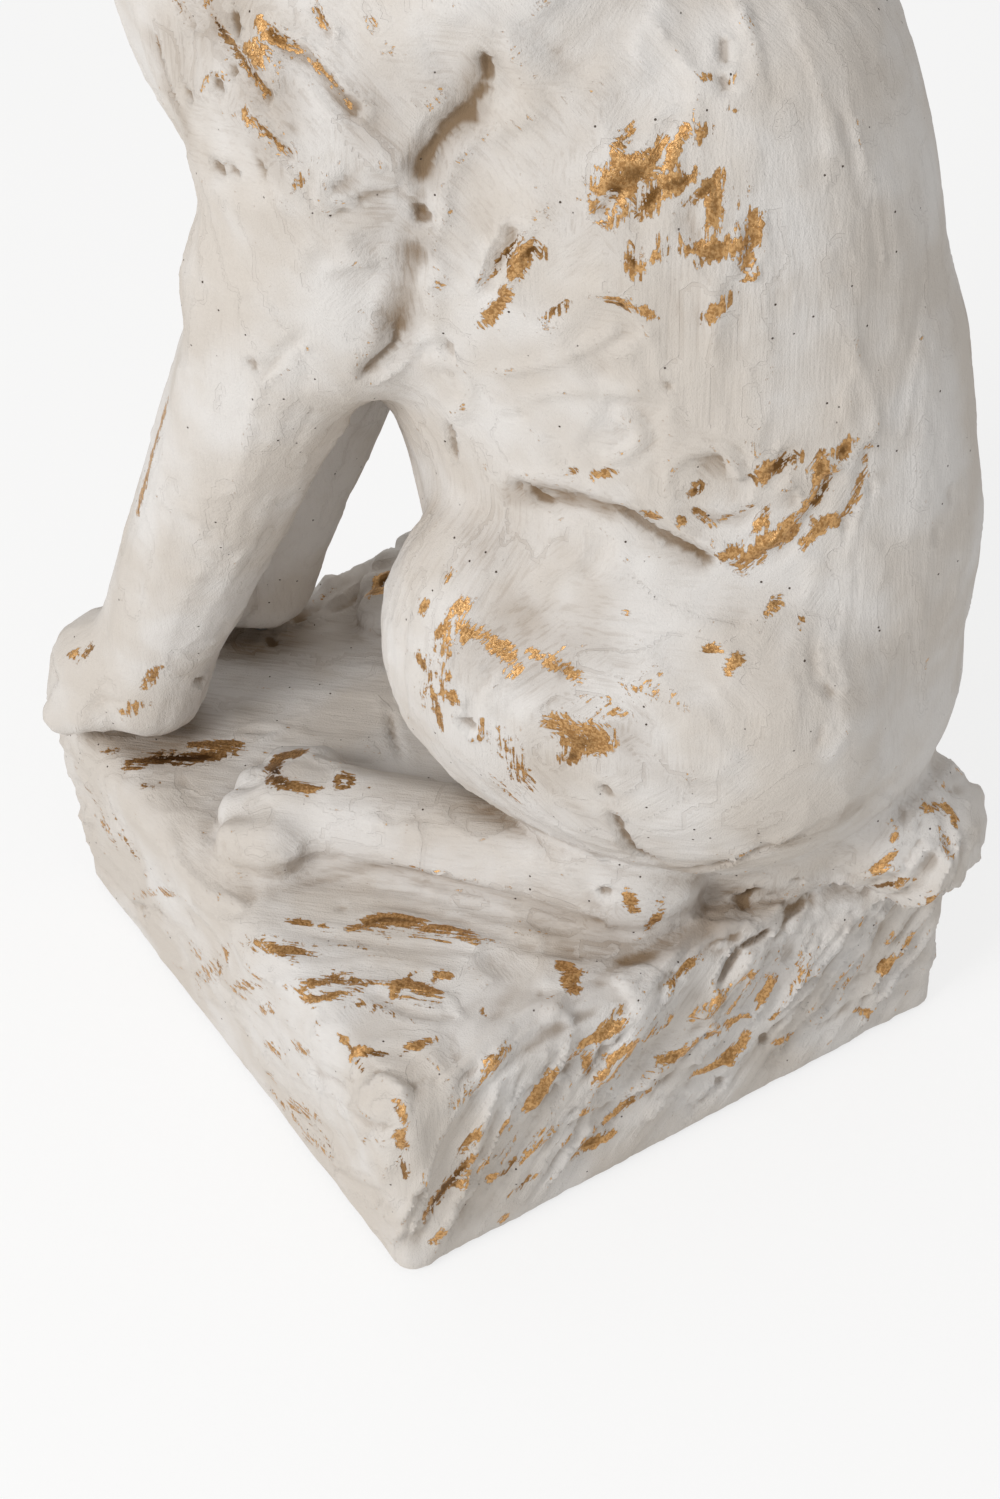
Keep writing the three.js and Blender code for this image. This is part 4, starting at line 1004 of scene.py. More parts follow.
# %% The clay as it was left
RELIEF, HEAD_RELIEF, THIN_RELIEF = 4.2, 2.0, 0.7  # the deepest or highest mark on each kind of part, in mm
STEEPEST = 0.8  # mm that a point may stand above or below its neighbours
UNDULATION = {45: 0.25, 18: 0.12}  # size and height of the unevenness under all marks, in mm
wander = sum(height * drift(clay, size, size) for size, height in UNDULATION.items())
calm = np.where(belongs["head"] | belongs["ear"], 0.45, np.where(belongs["leg"], 0.6, 1.0))
ridge_height = np.where(side_wall, 0.14, 0.07)
foot_share = np.where(belongs["plinth"], 0.15 + 0.85 * smooth((clay[:, 2] - UNDERSIDE - 1) / 14), 1.0)
from_corner = np.hypot(np.abs(in_plinth[:, 0]) - CORNER[0], np.abs(in_plinth[:, 1]) - CORNER[1])
hidden_corner = belongs["plinth"] & (clay[:, 0] < 60)
pressed = np.where(hidden_corner, 1 - 0.65 * np.exp(-((from_corner / 14) ** 2)), 1.0)
pressed *= np.where(belongs["body"], 1 - 0.5 * smooth((in_hare[:, 1] - 70) / 30), 1.0)
deepest = np.where(belongs["ear"], THIN_RELIEF, np.where(belongs["head"], HEAD_RELIEF, RELIEF))
relief = np.clip(relief * pressed, -deepest, deepest)
height = (relief + wander * calm) * foot_share + lines * ridge_height
for _ in range(2):
    around = evened(height, 1)
    height = around + np.clip(height - around, -STEEPEST, STEEPEST)
high_pass = height - evened(height, 14)
shape = clay + outward * height[:, None]
print("relief from", round(height.min(), 2), "to", round(height.max(), 2), "mm")

# %% [markdown]
# Under the off-white paint the hare is bronze gold all over, and a cloth has broken the paint where it ran
# over high spots. Each place is a line with a width, as the marks are, and gets a value that falls off from
# its middle. The paint's own noise breaks that value up into ragged flakes later, in the material.

# %% Where the paint is rubbed through
RUBBED = [  # width in pixels, strength, spots
    (14, 1.0, (206, 0), (213, 24), (228, 46)), (10, 1.0, (229, 50), (248, 72), (264, 95)),
    (20, 0.95, (252, 52), (260, 56)), (15, 1.0, (258, 22), (280, 44), (302, 55)),
    (10, 0.95, (304, 56), (322, 74), (336, 92), (350, 112)), (10, 1.0, (308, 0), (317, 15), (325, 30)),
    (9, 0.95, (245, 114), (262, 132), (290, 155)), (9, 0.9, (155, 38), (167, 82), (174, 98)),
    (8, 0.9, (175, 0), (188, 20)), (10, 0.85, (300, 178), (298, 186)), (10, 0.7, (206, 78), (224, 74)),
    (8, 0.8, (371, 18), (374, 28)), (9, 0.8, (388, 46), (391, 52)),
    (34, 1.0, (606, 205), (616, 184), (636, 172), (652, 178)),
    (20, 1.0, (640, 216), (652, 195), (664, 180)),
    (12, 1.0, (650, 168), (662, 134)), (10, 1.0, (668, 166), (684, 126)),
    (13, 0.95, (622, 144), (632, 126)),
    (12, 0.85, (697, 142), (708, 128)), (18, 1.0, (657, 192), (690, 176)),
    (14, 0.95, (690, 205), (722, 174)),
    (14, 1.0, (716, 180), (712, 226)), (15, 1.0, (757, 215), (745, 274)), (14, 1.0, (687, 252), (735, 243)),
    (12, 0.95, (700, 262), (730, 252)), (15, 1.0, (628, 248), (636, 274)),
    (12, 0.9, (698, 322), (734, 295)),
    (12, 1.0, (613, 301), (630, 308)), (9, 0.95, (643, 308), (655, 317)),
    (15, 1.0, (516, 272), (530, 250), (546, 256)),
    (13, 1.0, (483, 324), (508, 290)), (11, 1.0, (484, 284), (516, 238)), (10, 0.9, (545, 318), (568, 302)),
    (7, 0.9, (706, 76), (709, 79)), (7, 0.9, (730, 81), (733, 85)), (6, 0.9, (732, 108), (735, 111)),
    (7, 0.9, (582, 180), (584, 178)), (10, 0.85, (583, 200), (586, 201)),
    (26, 0.55, (640, 250), (700, 240), (740, 200)),
    (24, 1.0, (742, 568), (775, 542), (804, 520)), (16, 1.0, (800, 520), (818, 498), (832, 478)),
    (18, 1.0, (756, 478), (772, 468), (796, 458)), (16, 1.0, (816, 478), (822, 456)),
    (14, 1.0, (838, 460), (848, 440)),
    (14, 1.0, (808, 540), (832, 518)), (11, 1.0, (838, 524), (856, 500), (868, 450)),
    (12, 0.95, (758, 528), (768, 508)),
    (12, 0.95, (722, 556), (742, 546)), (9, 0.95, (680, 522), (696, 514), (712, 526), (750, 510)),
    (12, 1.0, (690, 497), (704, 484)), (10, 0.95, (565, 470), (580, 472)), (9, 0.9, (592, 474), (614, 471)),
    (9, 0.85, (648, 514), (658, 518)), (12, 0.95, (768, 610), (784, 596)), (8, 0.9, (799, 625), (803, 617)),
    (11, 0.95, (706, 652), (714, 648)), (12, 0.95, (727, 670), (740, 656)),
    (8, 0.85, (624, 612), (629, 612)),
    (22, 1.0, (485, 638), (502, 650), (512, 664)), (11, 1.0, (530, 652), (545, 658)),
    (16, 1.0, (550, 662), (580, 678)),
    (34, 1.0, (558, 724), (580, 742), (604, 734)), (18, 1.0, (566, 760), (580, 750)),
    (44, 0.42, (600, 710), (650, 690)),
    (40, 0.5, (490, 735), (520, 770), (515, 790)), (34, 0.45, (470, 620), (440, 650), (430, 700)),
    (12, 0.95, (444, 578), (450, 570)), (10, 0.95, (422, 612), (426, 602)),
    (12, 0.95, (438, 634), (450, 622)),
    (12, 0.95, (452, 612), (466, 602)), (15, 1.0, (466, 636), (478, 628)),
    (13, 1.0, (418, 656), (428, 678)),
    (9, 0.95, (434, 690), (442, 732)), (12, 0.7, (392, 560), (390, 600), (392, 640)),
    (9, 0.9, (450, 690), (458, 700)),
    (14, 0.95, (166, 400), (152, 450), (136, 512)), (14, 0.8, (64, 600), (50, 634)),
    (10, 0.9, (78, 662), (92, 645)),
    (15, 0.9, (146, 684), (160, 668)), (16, 0.6, (126, 712), (146, 700)), (8, 0.8, (70, 655), (80, 650)),
    (9, 0.95, (102, 751), (118, 750)), (22, 1.0, (128, 764), (160, 756), (196, 758), (236, 748)),
    (12, 0.95, (190, 745), (240, 744)), (10, 0.85, (144, 784), (158, 784)),
    (20, 1.0, (300, 752), (278, 758), (274, 776), (290, 784), (312, 787)),
    (9, 0.95, (336, 784), (340, 776), (350, 776), (350, 784), (338, 787)),
    (6, 0.8, (366, 788), (370, 789)), (7, 0.8, (406, 792), (410, 793)),
    (20, 0.55, (84, 786), (100, 810), (116, 848)), (12, 0.5, (134, 894), (160, 890)),
    (12, 0.75, (156, 890), (172, 894)),
    (18, 0.5, (190, 945), (200, 955)), (20, 0.55, (196, 985), (222, 960), (228, 946)),
    (22, 0.5, (236, 990), (262, 985), (276, 998)),
    (16, 0.55, (262, 1010), (272, 1002)), (14, 0.5, (264, 1046), (284, 1052)),
    (14, 0.5, (292, 1044), (308, 1056)),
    (12, 0.5, (270, 1076), (274, 1078)), (12, 0.5, (298, 1078), (302, 1080)),
    (36, 0.5, (284, 1106), (316, 1120)),
    (22, 0.5, (306, 1138), (330, 1146)), (24, 0.42, (300, 1170), (340, 1190)),
    (40, 0.42, (120, 830), (140, 860)),
    (16, 1.0, (349, 930), (380, 920), (416, 922), (430, 928)), (10, 0.95, (430, 926), (474, 930)),
    (10, 0.8, (350, 940), (366, 944)),
    (12, 1.0, (262, 944), (284, 950), (314, 953)), (8, 0.8, (322, 928), (336, 934)),
    (10, 0.8, (288, 922), (308, 922)),
    (14, 1.0, (304, 986), (330, 978), (372, 982)), (10, 0.95, (334, 972), (352, 976)),
    (11, 1.0, (304, 998), (338, 998)),
    (12, 1.0, (388, 1000), (402, 986), (412, 978)), (16, 1.0, (400, 984), (424, 988), (442, 990)),
    (10, 0.95, (430, 980), (448, 978)),
    (9, 0.8, (358, 1004), (364, 1004)), (20, 1.0, (566, 966), (574, 984), (580, 996)),
    (14, 1.0, (478, 1002), (488, 1016), (494, 1022)),
    (9, 1.0, (340, 1036), (350, 1048), (360, 1074)), (10, 1.0, (354, 1050), (388, 1052)),
    (10, 0.95, (398, 1050), (432, 1040)), (9, 0.85, (490, 1000), (496, 994)),
    (13, 1.0, (628, 894), (634, 908)), (12, 1.0, (650, 924), (662, 914)), (9, 0.9, (660, 906), (666, 898)),
    (9, 0.95, (616, 964), (634, 952)),
    (14, 0.8, (396, 1104), (404, 1120)), (12, 0.85, (398, 1130), (404, 1150)),
    (12, 0.85, (400, 1160), (406, 1178)),
    (17, 1.0, (428, 1226), (444, 1196), (474, 1160)), (10, 0.95, (462, 1156), (478, 1134)),
    (13, 1.0, (502, 1138), (510, 1120)),
    (16, 1.0, (530, 1108), (552, 1074)), (9, 0.95, (526, 1110), (536, 1096)),
    (13, 1.0, (565, 1066), (576, 1060)),
    (14, 1.0, (578, 1048), (604, 1032), (626, 1008)), (12, 1.0, (586, 1056), (594, 1080)),
    (10, 0.9, (606, 1062), (634, 1040)),
    (9, 0.9, (648, 1034), (660, 1018)), (11, 1.0, (662, 1060), (690, 1054)),
    (14, 1.0, (700, 1046), (744, 1018)),
    (13, 1.0, (692, 1078), (720, 1062), (748, 1036)), (10, 0.9, (640, 1098), (662, 1086)),
    (15, 1.0, (608, 1124), (628, 1108), (652, 1094)),
    (14, 0.95, (584, 1118), (602, 1112)), (13, 1.0, (570, 1162), (590, 1148), (612, 1136)),
    (9, 0.95, (504, 1180), (528, 1154)),
    (9, 0.9, (490, 1184), (496, 1174)), (10, 0.95, (512, 1200), (536, 1180)),
    (8, 0.8, (500, 1222), (508, 1216)), (8, 0.85, (430, 1244), (446, 1226)),
    (13, 1.0, (672, 982), (690, 964), (704, 956)), (8, 0.9, (660, 992), (672, 980)),
    (12, 0.95, (752, 974), (768, 966)), (8, 0.85, (756, 1004), (778, 978)),
    (8, 0.9, (776, 1044), (800, 1034)), (8, 0.9, (806, 1026), (828, 1002)),
    (7, 0.8, (770, 1020), (780, 1012)),
    (11, 0.95, (858, 1014), (876, 1012)), (13, 0.95, (882, 972), (892, 962)),
    (18, 0.9, (934, 894), (922, 920), (908, 944)), (8, 0.8, (864, 926), (868, 920)),
    (14, 0.9, (928, 808), (944, 806), (956, 820)), (12, 0.95, (942, 830), (950, 850)),
    (10, 0.95, (946, 786), (958, 790)),
    (10, 0.95, (876, 868), (894, 854)), (10, 0.9, (872, 894), (900, 888)),
    (9, 0.95, (896, 884), (918, 886)), (7, 0.9, (892, 838), (895, 836)),
    (40, 0.42, (470, 1090), (520, 1040), (580, 1000)), (60, 0.4, (600, 1080), (700, 1020), (800, 960)),
    (40, 0.4, (850, 980), (910, 940)),
    (30, 0.38, (440, 1180), (520, 1150), (600, 1130)), (30, 0.4, (250, 945), (400, 935), (470, 940)),
    (50, 0.35, (300, 990), (420, 1000)),
]
rub = np.zeros(len(clay))


def rub_along(path, facing, wide, strength):
    found, radial, along, _, _ = along_path(path, facing, wide, 1.5)
    ends = 1 - 0.25 * np.abs(2 * along - 1) ** 2
    rub[found] = np.maximum(rub[found], strength * ends * (1.12 - 0.62 * radial**2))


for width, strength, *spots in RUBBED:
    path, facing = on_clay(spots)
    if path is None:
        continue
    rub_along(path, facing, width / 2 * PX_TO_MM, strength)
    path, facing = far_side(path, rng.normal(0, RUB_SHIFT, 3) * [0, 1, 1])
    if path is not None:
        rub_along(path, facing, width / 2 * PX_TO_MM, strength)
print("rubbed places:", len(RUBBED), "share of the surface:", round(float((rub > 0.6).mean()), 3))

# %% [markdown]
# A thin brown wash stays in what lies deep, and shade is painted there as well, where light is blocked. Two
# things tell where that is: how far a point lies below the clay round it, and how much clay stands in front
# of it. The second is read from the distance itself: 7 mm out from an open surface it says 7 mm, and out
# from a corner it says less, so corners, creases and the space between the legs get painted shade. It is
# read at three such distances.

# %% How deep each point lies, painted shade from that, and placed shade and wash
# Places given one by one where the paint is darkened: painted shade along creases and under the haunch, and
# brown wash over the broader patches.
SHADE_AND_WASH_PLACES = [  # width in pixels, strength, spots
    (150, 0.4, (215, 20), (270, 70), (320, 130)), (110, 0.34, (500, 90), (430, 130), (395, 230)),
    (150, 0.42, (500, 620), (580, 670), (600, 740)), (130, 0.26, (600, 180), (680, 230), (740, 290)),
    (120, 0.22, (700, 500), (780, 540), (830, 480)), (110, 0.25, (560, 800), (640, 840), (720, 820)),
    (34, 0.6, (484, 66), (470, 106), (430, 150), (420, 205), (414, 250), (402, 310), (372, 372)),
    (30, 0.5, (512, 492), (560, 494), (600, 500), (650, 532), (700, 560)),
    (30, 0.45, (300, 20), (312, 60), (330, 100)),
    (32, 0.5, (606, 800), (640, 858), (740, 862), (850, 812)),
    (26, 0.5, (150, 40), (170, 95), (200, 160), (240, 175)),
    (100, 0.3, (600, 930), (700, 940), (780, 920)), (90, 0.24, (560, 1040), (640, 1040), (720, 1000)),
]
placed_shade_and_wash = np.zeros(len(clay))


def shade_and_wash_along(path, facing, wide, strength):
    found, radial, _, _, _ = along_path(path, facing, wide, 1.5)
    placed_shade_and_wash[found] = np.maximum(placed_shade_and_wash[found], strength * np.clip(1 - (radial / 1.5) ** 2, 0, 1))


for width, strength, *spots in SHADE_AND_WASH_PLACES:
    path, facing = on_clay(spots)
    shade_and_wash_along(path, facing, width / 2 * PX_TO_MM, strength)
    path, facing = far_side(path, np.zeros(3))
    if path is not None:
        shade_and_wash_along(path, facing, width / 2 * PX_TO_MM, strength)
placed_shade_and_wash *= np.clip(0.75 + 0.5 * drift(clay, 12, 12), 0, 1.3)
# Painted shade: the less open space there is in front of a point, the darker its paint, read at each
# distance.
OCCLUSION_REACH = {7: 0.55, 26: 0.22, 60: 0.1}  # how far out it is read, and what each reading counts for
occlusion_shade = [
    weight * np.clip(1 - everything(clay + outward * far) / far, 0, 1) for far,
    weight in OCCLUSION_REACH.items()
]
# The painted shade from the clay in front, with the placed shade and wash added.
shade = np.clip(sum(occlusion_shade) + placed_shade_and_wash, 0, 1)
print("points in deep shade:", int((shade > 0.5).sum()))


# %% [markdown]
# A mould can't give this figure in one go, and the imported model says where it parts: neck, forelegs, hind
# feet, tail, ears and plinth are castings of their own, glued and filled so that no joint shows. The
# sculpted clay is cut the same way, by booleans with the manifold solver. Each cutter is itself a skin,
# round the space where one part is nearer than its neighbour, so a joint runs down the middle of the fillet
# between two parts.

# %% Meshes from points
def mesh_piece(name, points, polygons):
    mesh = bpy.data.meshes.new(name)
    mesh.vertices.add(len(points))
    mesh.vertices.foreach_set("co", (points * MM).astype(np.float32).ravel())
    sides = polygons.shape[1]
    mesh.loops.add(len(polygons) * sides)
    mesh.loops.foreach_set("vertex_index", polygons.astype(np.int32).ravel())
    mesh.polygons.add(len(polygons))
    mesh.polygons.foreach_set("loop_start", np.arange(len(polygons), dtype=np.int32) * sides)
    mesh.update(calc_edges=True)
    mesh.validate()
    piece = bpy.data.objects.new(name, mesh)
    bpy.context.scene.collection.objects.link(piece)
    return piece


whole = mesh_piece("clay", shape, faces)
number = whole.data.attributes.new("number", "FLOAT", "POINT")
number.data.foreach_set("value", np.arange(1, len(shape) + 1, dtype=np.float32))
shape_faces = facing_of(shape, faces)


def region(name, inside, low, high, step=5.0):
    points, quads = skin_over(inside, low, high, step)
    return mesh_piece(name, points, quads)


def nearer(part_of, rest):
    return lambda p: part_of(p) - rest(p)


def hare_only(p):
    d = smear(HARE_JOIN, hare_body(p), hare_tail(p))
    for lump in ears + feet:
        d = smear(HARE_JOIN, d, lump(p))
    return d


def hare_plane(point, normal):
    """Everything on the side of a plane that its normal points to, both in the hare's measurements."""
    point, normal = from_hare(point), hare_turn @ unit(np.array(normal, float))
    return lambda p: -((p - point) @ normal)


def both(*fields):
    return lambda p: np.max([f(p) for f in fields], 0)


NECK_SEAM, NECK_NOD = (0, -38, 314), 8
LEG_SEAM, LEG_SPACE_DEEP = 34, 30


def leg_space(side):
    top = np.array(side_of((38, -64, 172), side), float)
    bottom = np.array(side_of((30, -121, 42), side, FAR_PAW_BACK if side < 0 else 0), float)
    seam = top + unit(bottom - top) * LEG_SEAM
    down = unit((bottom - top) * [0, 1, 1])
    ahead = np.cross([1, 0, 0], down)
    walls = [hare_plane(seam + ahead * s * LEG_SPACE_DEEP, -ahead * s) for s in BOTH]
    return both(hare_plane(seam, down), hare_plane((0, 0, 0), (side, 0, 0)), *walls)


low, high = reach[0] - 25, reach[1] + 25
nod = math.radians(NECK_NOD)
above_plinth = both(nearer(hare_only, plinth), lambda p: PLINTH_TOP + 0.1 - p[:, 2])
regions = {
    "hare": region("hare_region", above_plinth, low, high),
    "head": region(
        "head_region", hare_plane(NECK_SEAM, (0, -math.sin(nod), math.cos(nod))), low + [0, 0, 330], high,
        8
    ),
    "tail": region("tail_region", nearer(hare_tail, hare_body), low + [60, 160, 60], [80, 190, 150]),
}
for s, name in zip(BOTH, ("left", "right")):
    regions[name + "_foreleg"] = region(name + "_leg_region", leg_space(s), low, high, 8)
    foot_field = feet[0 if s > 0 else 1]
    regions[name + "_hind_foot"] = region(
        name + "_foot_region", nearer(foot_field, hare_body), [-130, -130, 50], [130, 130, 150]
    )
    this_ear, other_ear = ears[::s]
    ear_space = nearer(this_ear, lambda p, other=other_ear: np.minimum(hare_body(p), other(p)))
    regions[name + "_ear"] = region(name + "_ear_region", ear_space, low + [0, 0, 420], high)


def casting(name, *cuts):
    """The clay, cut by one region after another: each is kept, or taken away."""
    piece = bpy.data.objects.new(name, whole.data)
    bpy.context.scene.collection.objects.link(piece)
    for kept, cutter in cuts:
        cut = piece.modifiers.new("cut", "BOOLEAN")
        cut.operation = "INTERSECT" if kept else "DIFFERENCE"
        cut.solver = "MANIFOLD"
        cut.object = cutter
    drawn = piece.evaluated_get(bpy.context.evaluated_depsgraph_get())
    piece.data = bpy.data.meshes.new_from_object(drawn)
    piece.data.validate()
    piece.data.name = name
    piece.modifiers.clear()
    return piece


ROOM = {"x": 187 / 2, "y": 178 / 2, "boss": 23, "board_top": 8.6, "ceiling": 65}


def block(name, half, low, high):
    """A box in the plinth's own directions."""
    corners = np.array(
        [(x, y, z) for x in (-half[0], half[0]) for y in (-half[1], half[1]) for z in (low, high)], float
    )
    sides = [(0, 1, 3, 2), (4, 6, 7, 5), (0, 4, 5, 1), (2, 3, 7, 6), (0, 2, 6, 4), (1, 5, 7, 3)]
    return mesh_piece(name, corners @ plinth_turn.T, np.array(sides))


FAR = 400
underside = block("underside_region", (FAR, FAR), UNDERSIDE, FAR)
rooms = [
    block("board_room", (ROOM["x"], ROOM["y"]), -FAR, ROOM["board_top"]),
    block("long_room", (ROOM["x"], ROOM["y"] - ROOM["boss"]), -FAR, ROOM["ceiling"]),
    block("cross_room", (ROOM["x"] - ROOM["boss"], ROOM["y"]), -FAR, ROOM["ceiling"]),
]
hare, head_region = regions["hare"], regions["head"]
small = [
    regions[f"{s}_{n}"] for s in ("left", "right") for n in ("foreleg", "hind_foot")
] + [regions["tail"]]
castings = {
    "plinth_shell": casting(
        "plinth_casting", (False, hare), (True, underside), *[(False, room) for room in rooms]
    ),
    "torso_shell": casting(
        "torso_casting", (True, hare), (False, head_region), *[(False, r) for r in small]
    ),
    "head_shell": casting(
        "head_casting", (True, head_region), (False, regions["left_ear"]), (False, regions["right_ear"])
    ),
    "tail": casting("tail_casting", (True, regions["tail"]), (True, hare)),
}
for s in ("left", "right"):
    for n in ("foreleg", "hind_foot"):
        castings[f"{s}_{n}"] = casting(
            f"{s}_{n}_casting", (True, regions[f"{s}_{n}"]), (True, hare), (False, head_region)
        )
    castings[f"{s}_ear"] = casting(f"{s}_ear_casting", (True, regions[f"{s}_ear"]))

for cutter in [*regions.values(), *rooms, underside, whole]:
    bpy.data.objects.remove(cutter)


# %% [markdown]
# A boolean carries the painted values along, but the points that it makes on the cut have none. They take
# those of the nearest point of the clay. Then the outside is shaded smooth and the cut stays sharp.

# %% Finishing each casting
SURFACE = {"rub": rub, "lines": lines, "hollow": high_pass, "shade": shade}
grain_smooth = laid_flat(np.stack([evened(grain[:, m], 4) for m in range(3)], -1))


def read(data, name, kind, width=1):
    values = np.empty(len(data) * width, kind)
    data.foreach_get(name, values)
    return values.reshape(-1, width) if width > 1 else values


def take_values(mesh):
    at = read(mesh.vertices, "co", np.float32, 3) / MM
    numbers = np.rint(read(mesh.attributes["number"].data, "value", np.float32)).astype(int) - 1
    for i in np.flatnonzero(numbers < 0):
        numbers[i] = nearest(at[i], 12) or 0
    mesh.attributes.remove(mesh.attributes["number"])
    for name, values in SURFACE.items():
        layer = mesh.attributes.new(name, "FLOAT", "POINT")
        layer.data.foreach_set("value", values[numbers].astype(np.float32))
    ways = mesh.attributes.new("grain", "FLOAT_VECTOR", "POINT")
    ways.data.foreach_set("vector", grain_smooth[numbers].astype(np.float32).ravel())
    corner_point = read(mesh.loops, "vertex_index", np.int32)
    sides = read(mesh.polygons, "loop_total", np.int32)
    flat = np.repeat(read(mesh.polygons, "normal", np.float32, 3), sides, 0)
    rounded = shape_faces[numbers[corner_point]]
    on_skin = (flat * rounded).sum(1) > 0.5
    mesh.polygons.foreach_set("use_smooth", np.ones(len(mesh.polygons), bool))
    mesh.normals_split_custom_set(np.where(on_skin[:, None], rounded, flat))


for node, piece in castings.items():
    take_values(piece.data)
    mesh = piece.data
    print(piece.name, int((read(mesh.polygons, "loop_total", np.int32) - 2).sum()), "triangles")
    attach(piece, "root")
    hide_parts(node)


# %% [markdown]
# Materials start from what the real ones are. Colours are written as a painter would pick them, in sRGB,
# and one function turns them to the linear values that light is counted in. One more adds a node with its
# settings.

# %% Colours and nodes
def colour(text):
    parts = [int(text[i:i + 2], 16) / 255 for i in (1, 3, 5)]
    return (*[c / 12.92 if c <= 0.04045 else ((c + 0.055) / 1.055) ** 2.4 for c in parts], 1.0)


def add(tree, kind, inputs=(), **settings):
    """Adds a node, sets its own settings, and gives each input a value or another node's output."""
    node = tree.nodes.new(kind)
    for key, value in settings.items():
        setattr(node, key, value)
    for socket, value in dict(inputs).items():
        if isinstance(value, bpy.types.NodeSocket):
            tree.links.new(value, node.inputs[socket])
        else:
            node.inputs[socket].default_value = value
    return node


def new_material(name):
    material = bpy.data.materials.new(name)
    material.use_nodes = True
    material.node_tree.nodes.clear()
    return material, material.node_tree


def per_mm(size):
    """The scale of a pattern whose features are so many millimetres apart."""
    return 1 / (size * MM)


# %% [markdown]
# The hare is cold-cast resin, which takes the clay's finish down to the pinholes. It was sprayed bronze
# gold, brushed with off-white emulsion, wiped with a thin brown wash that stayed in the hollows, and rubbed
# back with a cloth. So there are two finishes in one material: matt paint, and a dull gold metallic one
# under it, which shows where the rubbed value, the brush lines and two sizes of noise add up. The wash's
# brown also paints shade in hollows and where clay stands close in front, and a darker brown paints shade
# in the pinholes. The paint is 0.2 mm thick, so it ends in a small step, and bump makes that, the grain and
# the pinholes, which are all finer than the mesh.

# %% Painted and rubbed cold-cast resin
PAINT_LIGHT, PAINT_WARM = "#DFDBD7", "#D1C9C0"
SHADE_AND_WASH, PIT_SHADE_AND_WASH = "#836D54", "#514236"
GOLD_LIGHT, GOLD, GOLD_DEEP, THIN_PAINT = "#D8AC76", "#B08453", "#6E4E2B", "#C6A481"
FLAKE_MM, CRUMB_MM, GRAIN_MM, PIT_MM, TONE_MM, BRISTLE_MM = 3.0, 0.9, 0.5, 4.5, 40, 1.1
BRISTLE_WAYS = [
    (0, 0, 1), (0, 1, 0), (0, 0.707, 0.707), (0, 0.707, -0.707), (-0.454, 0.454, 0.766),
    (0.686, 0.686, 0.242)
]
DRAWN_OUT = 0.07  # the width of a bristle's mark as a share of its length


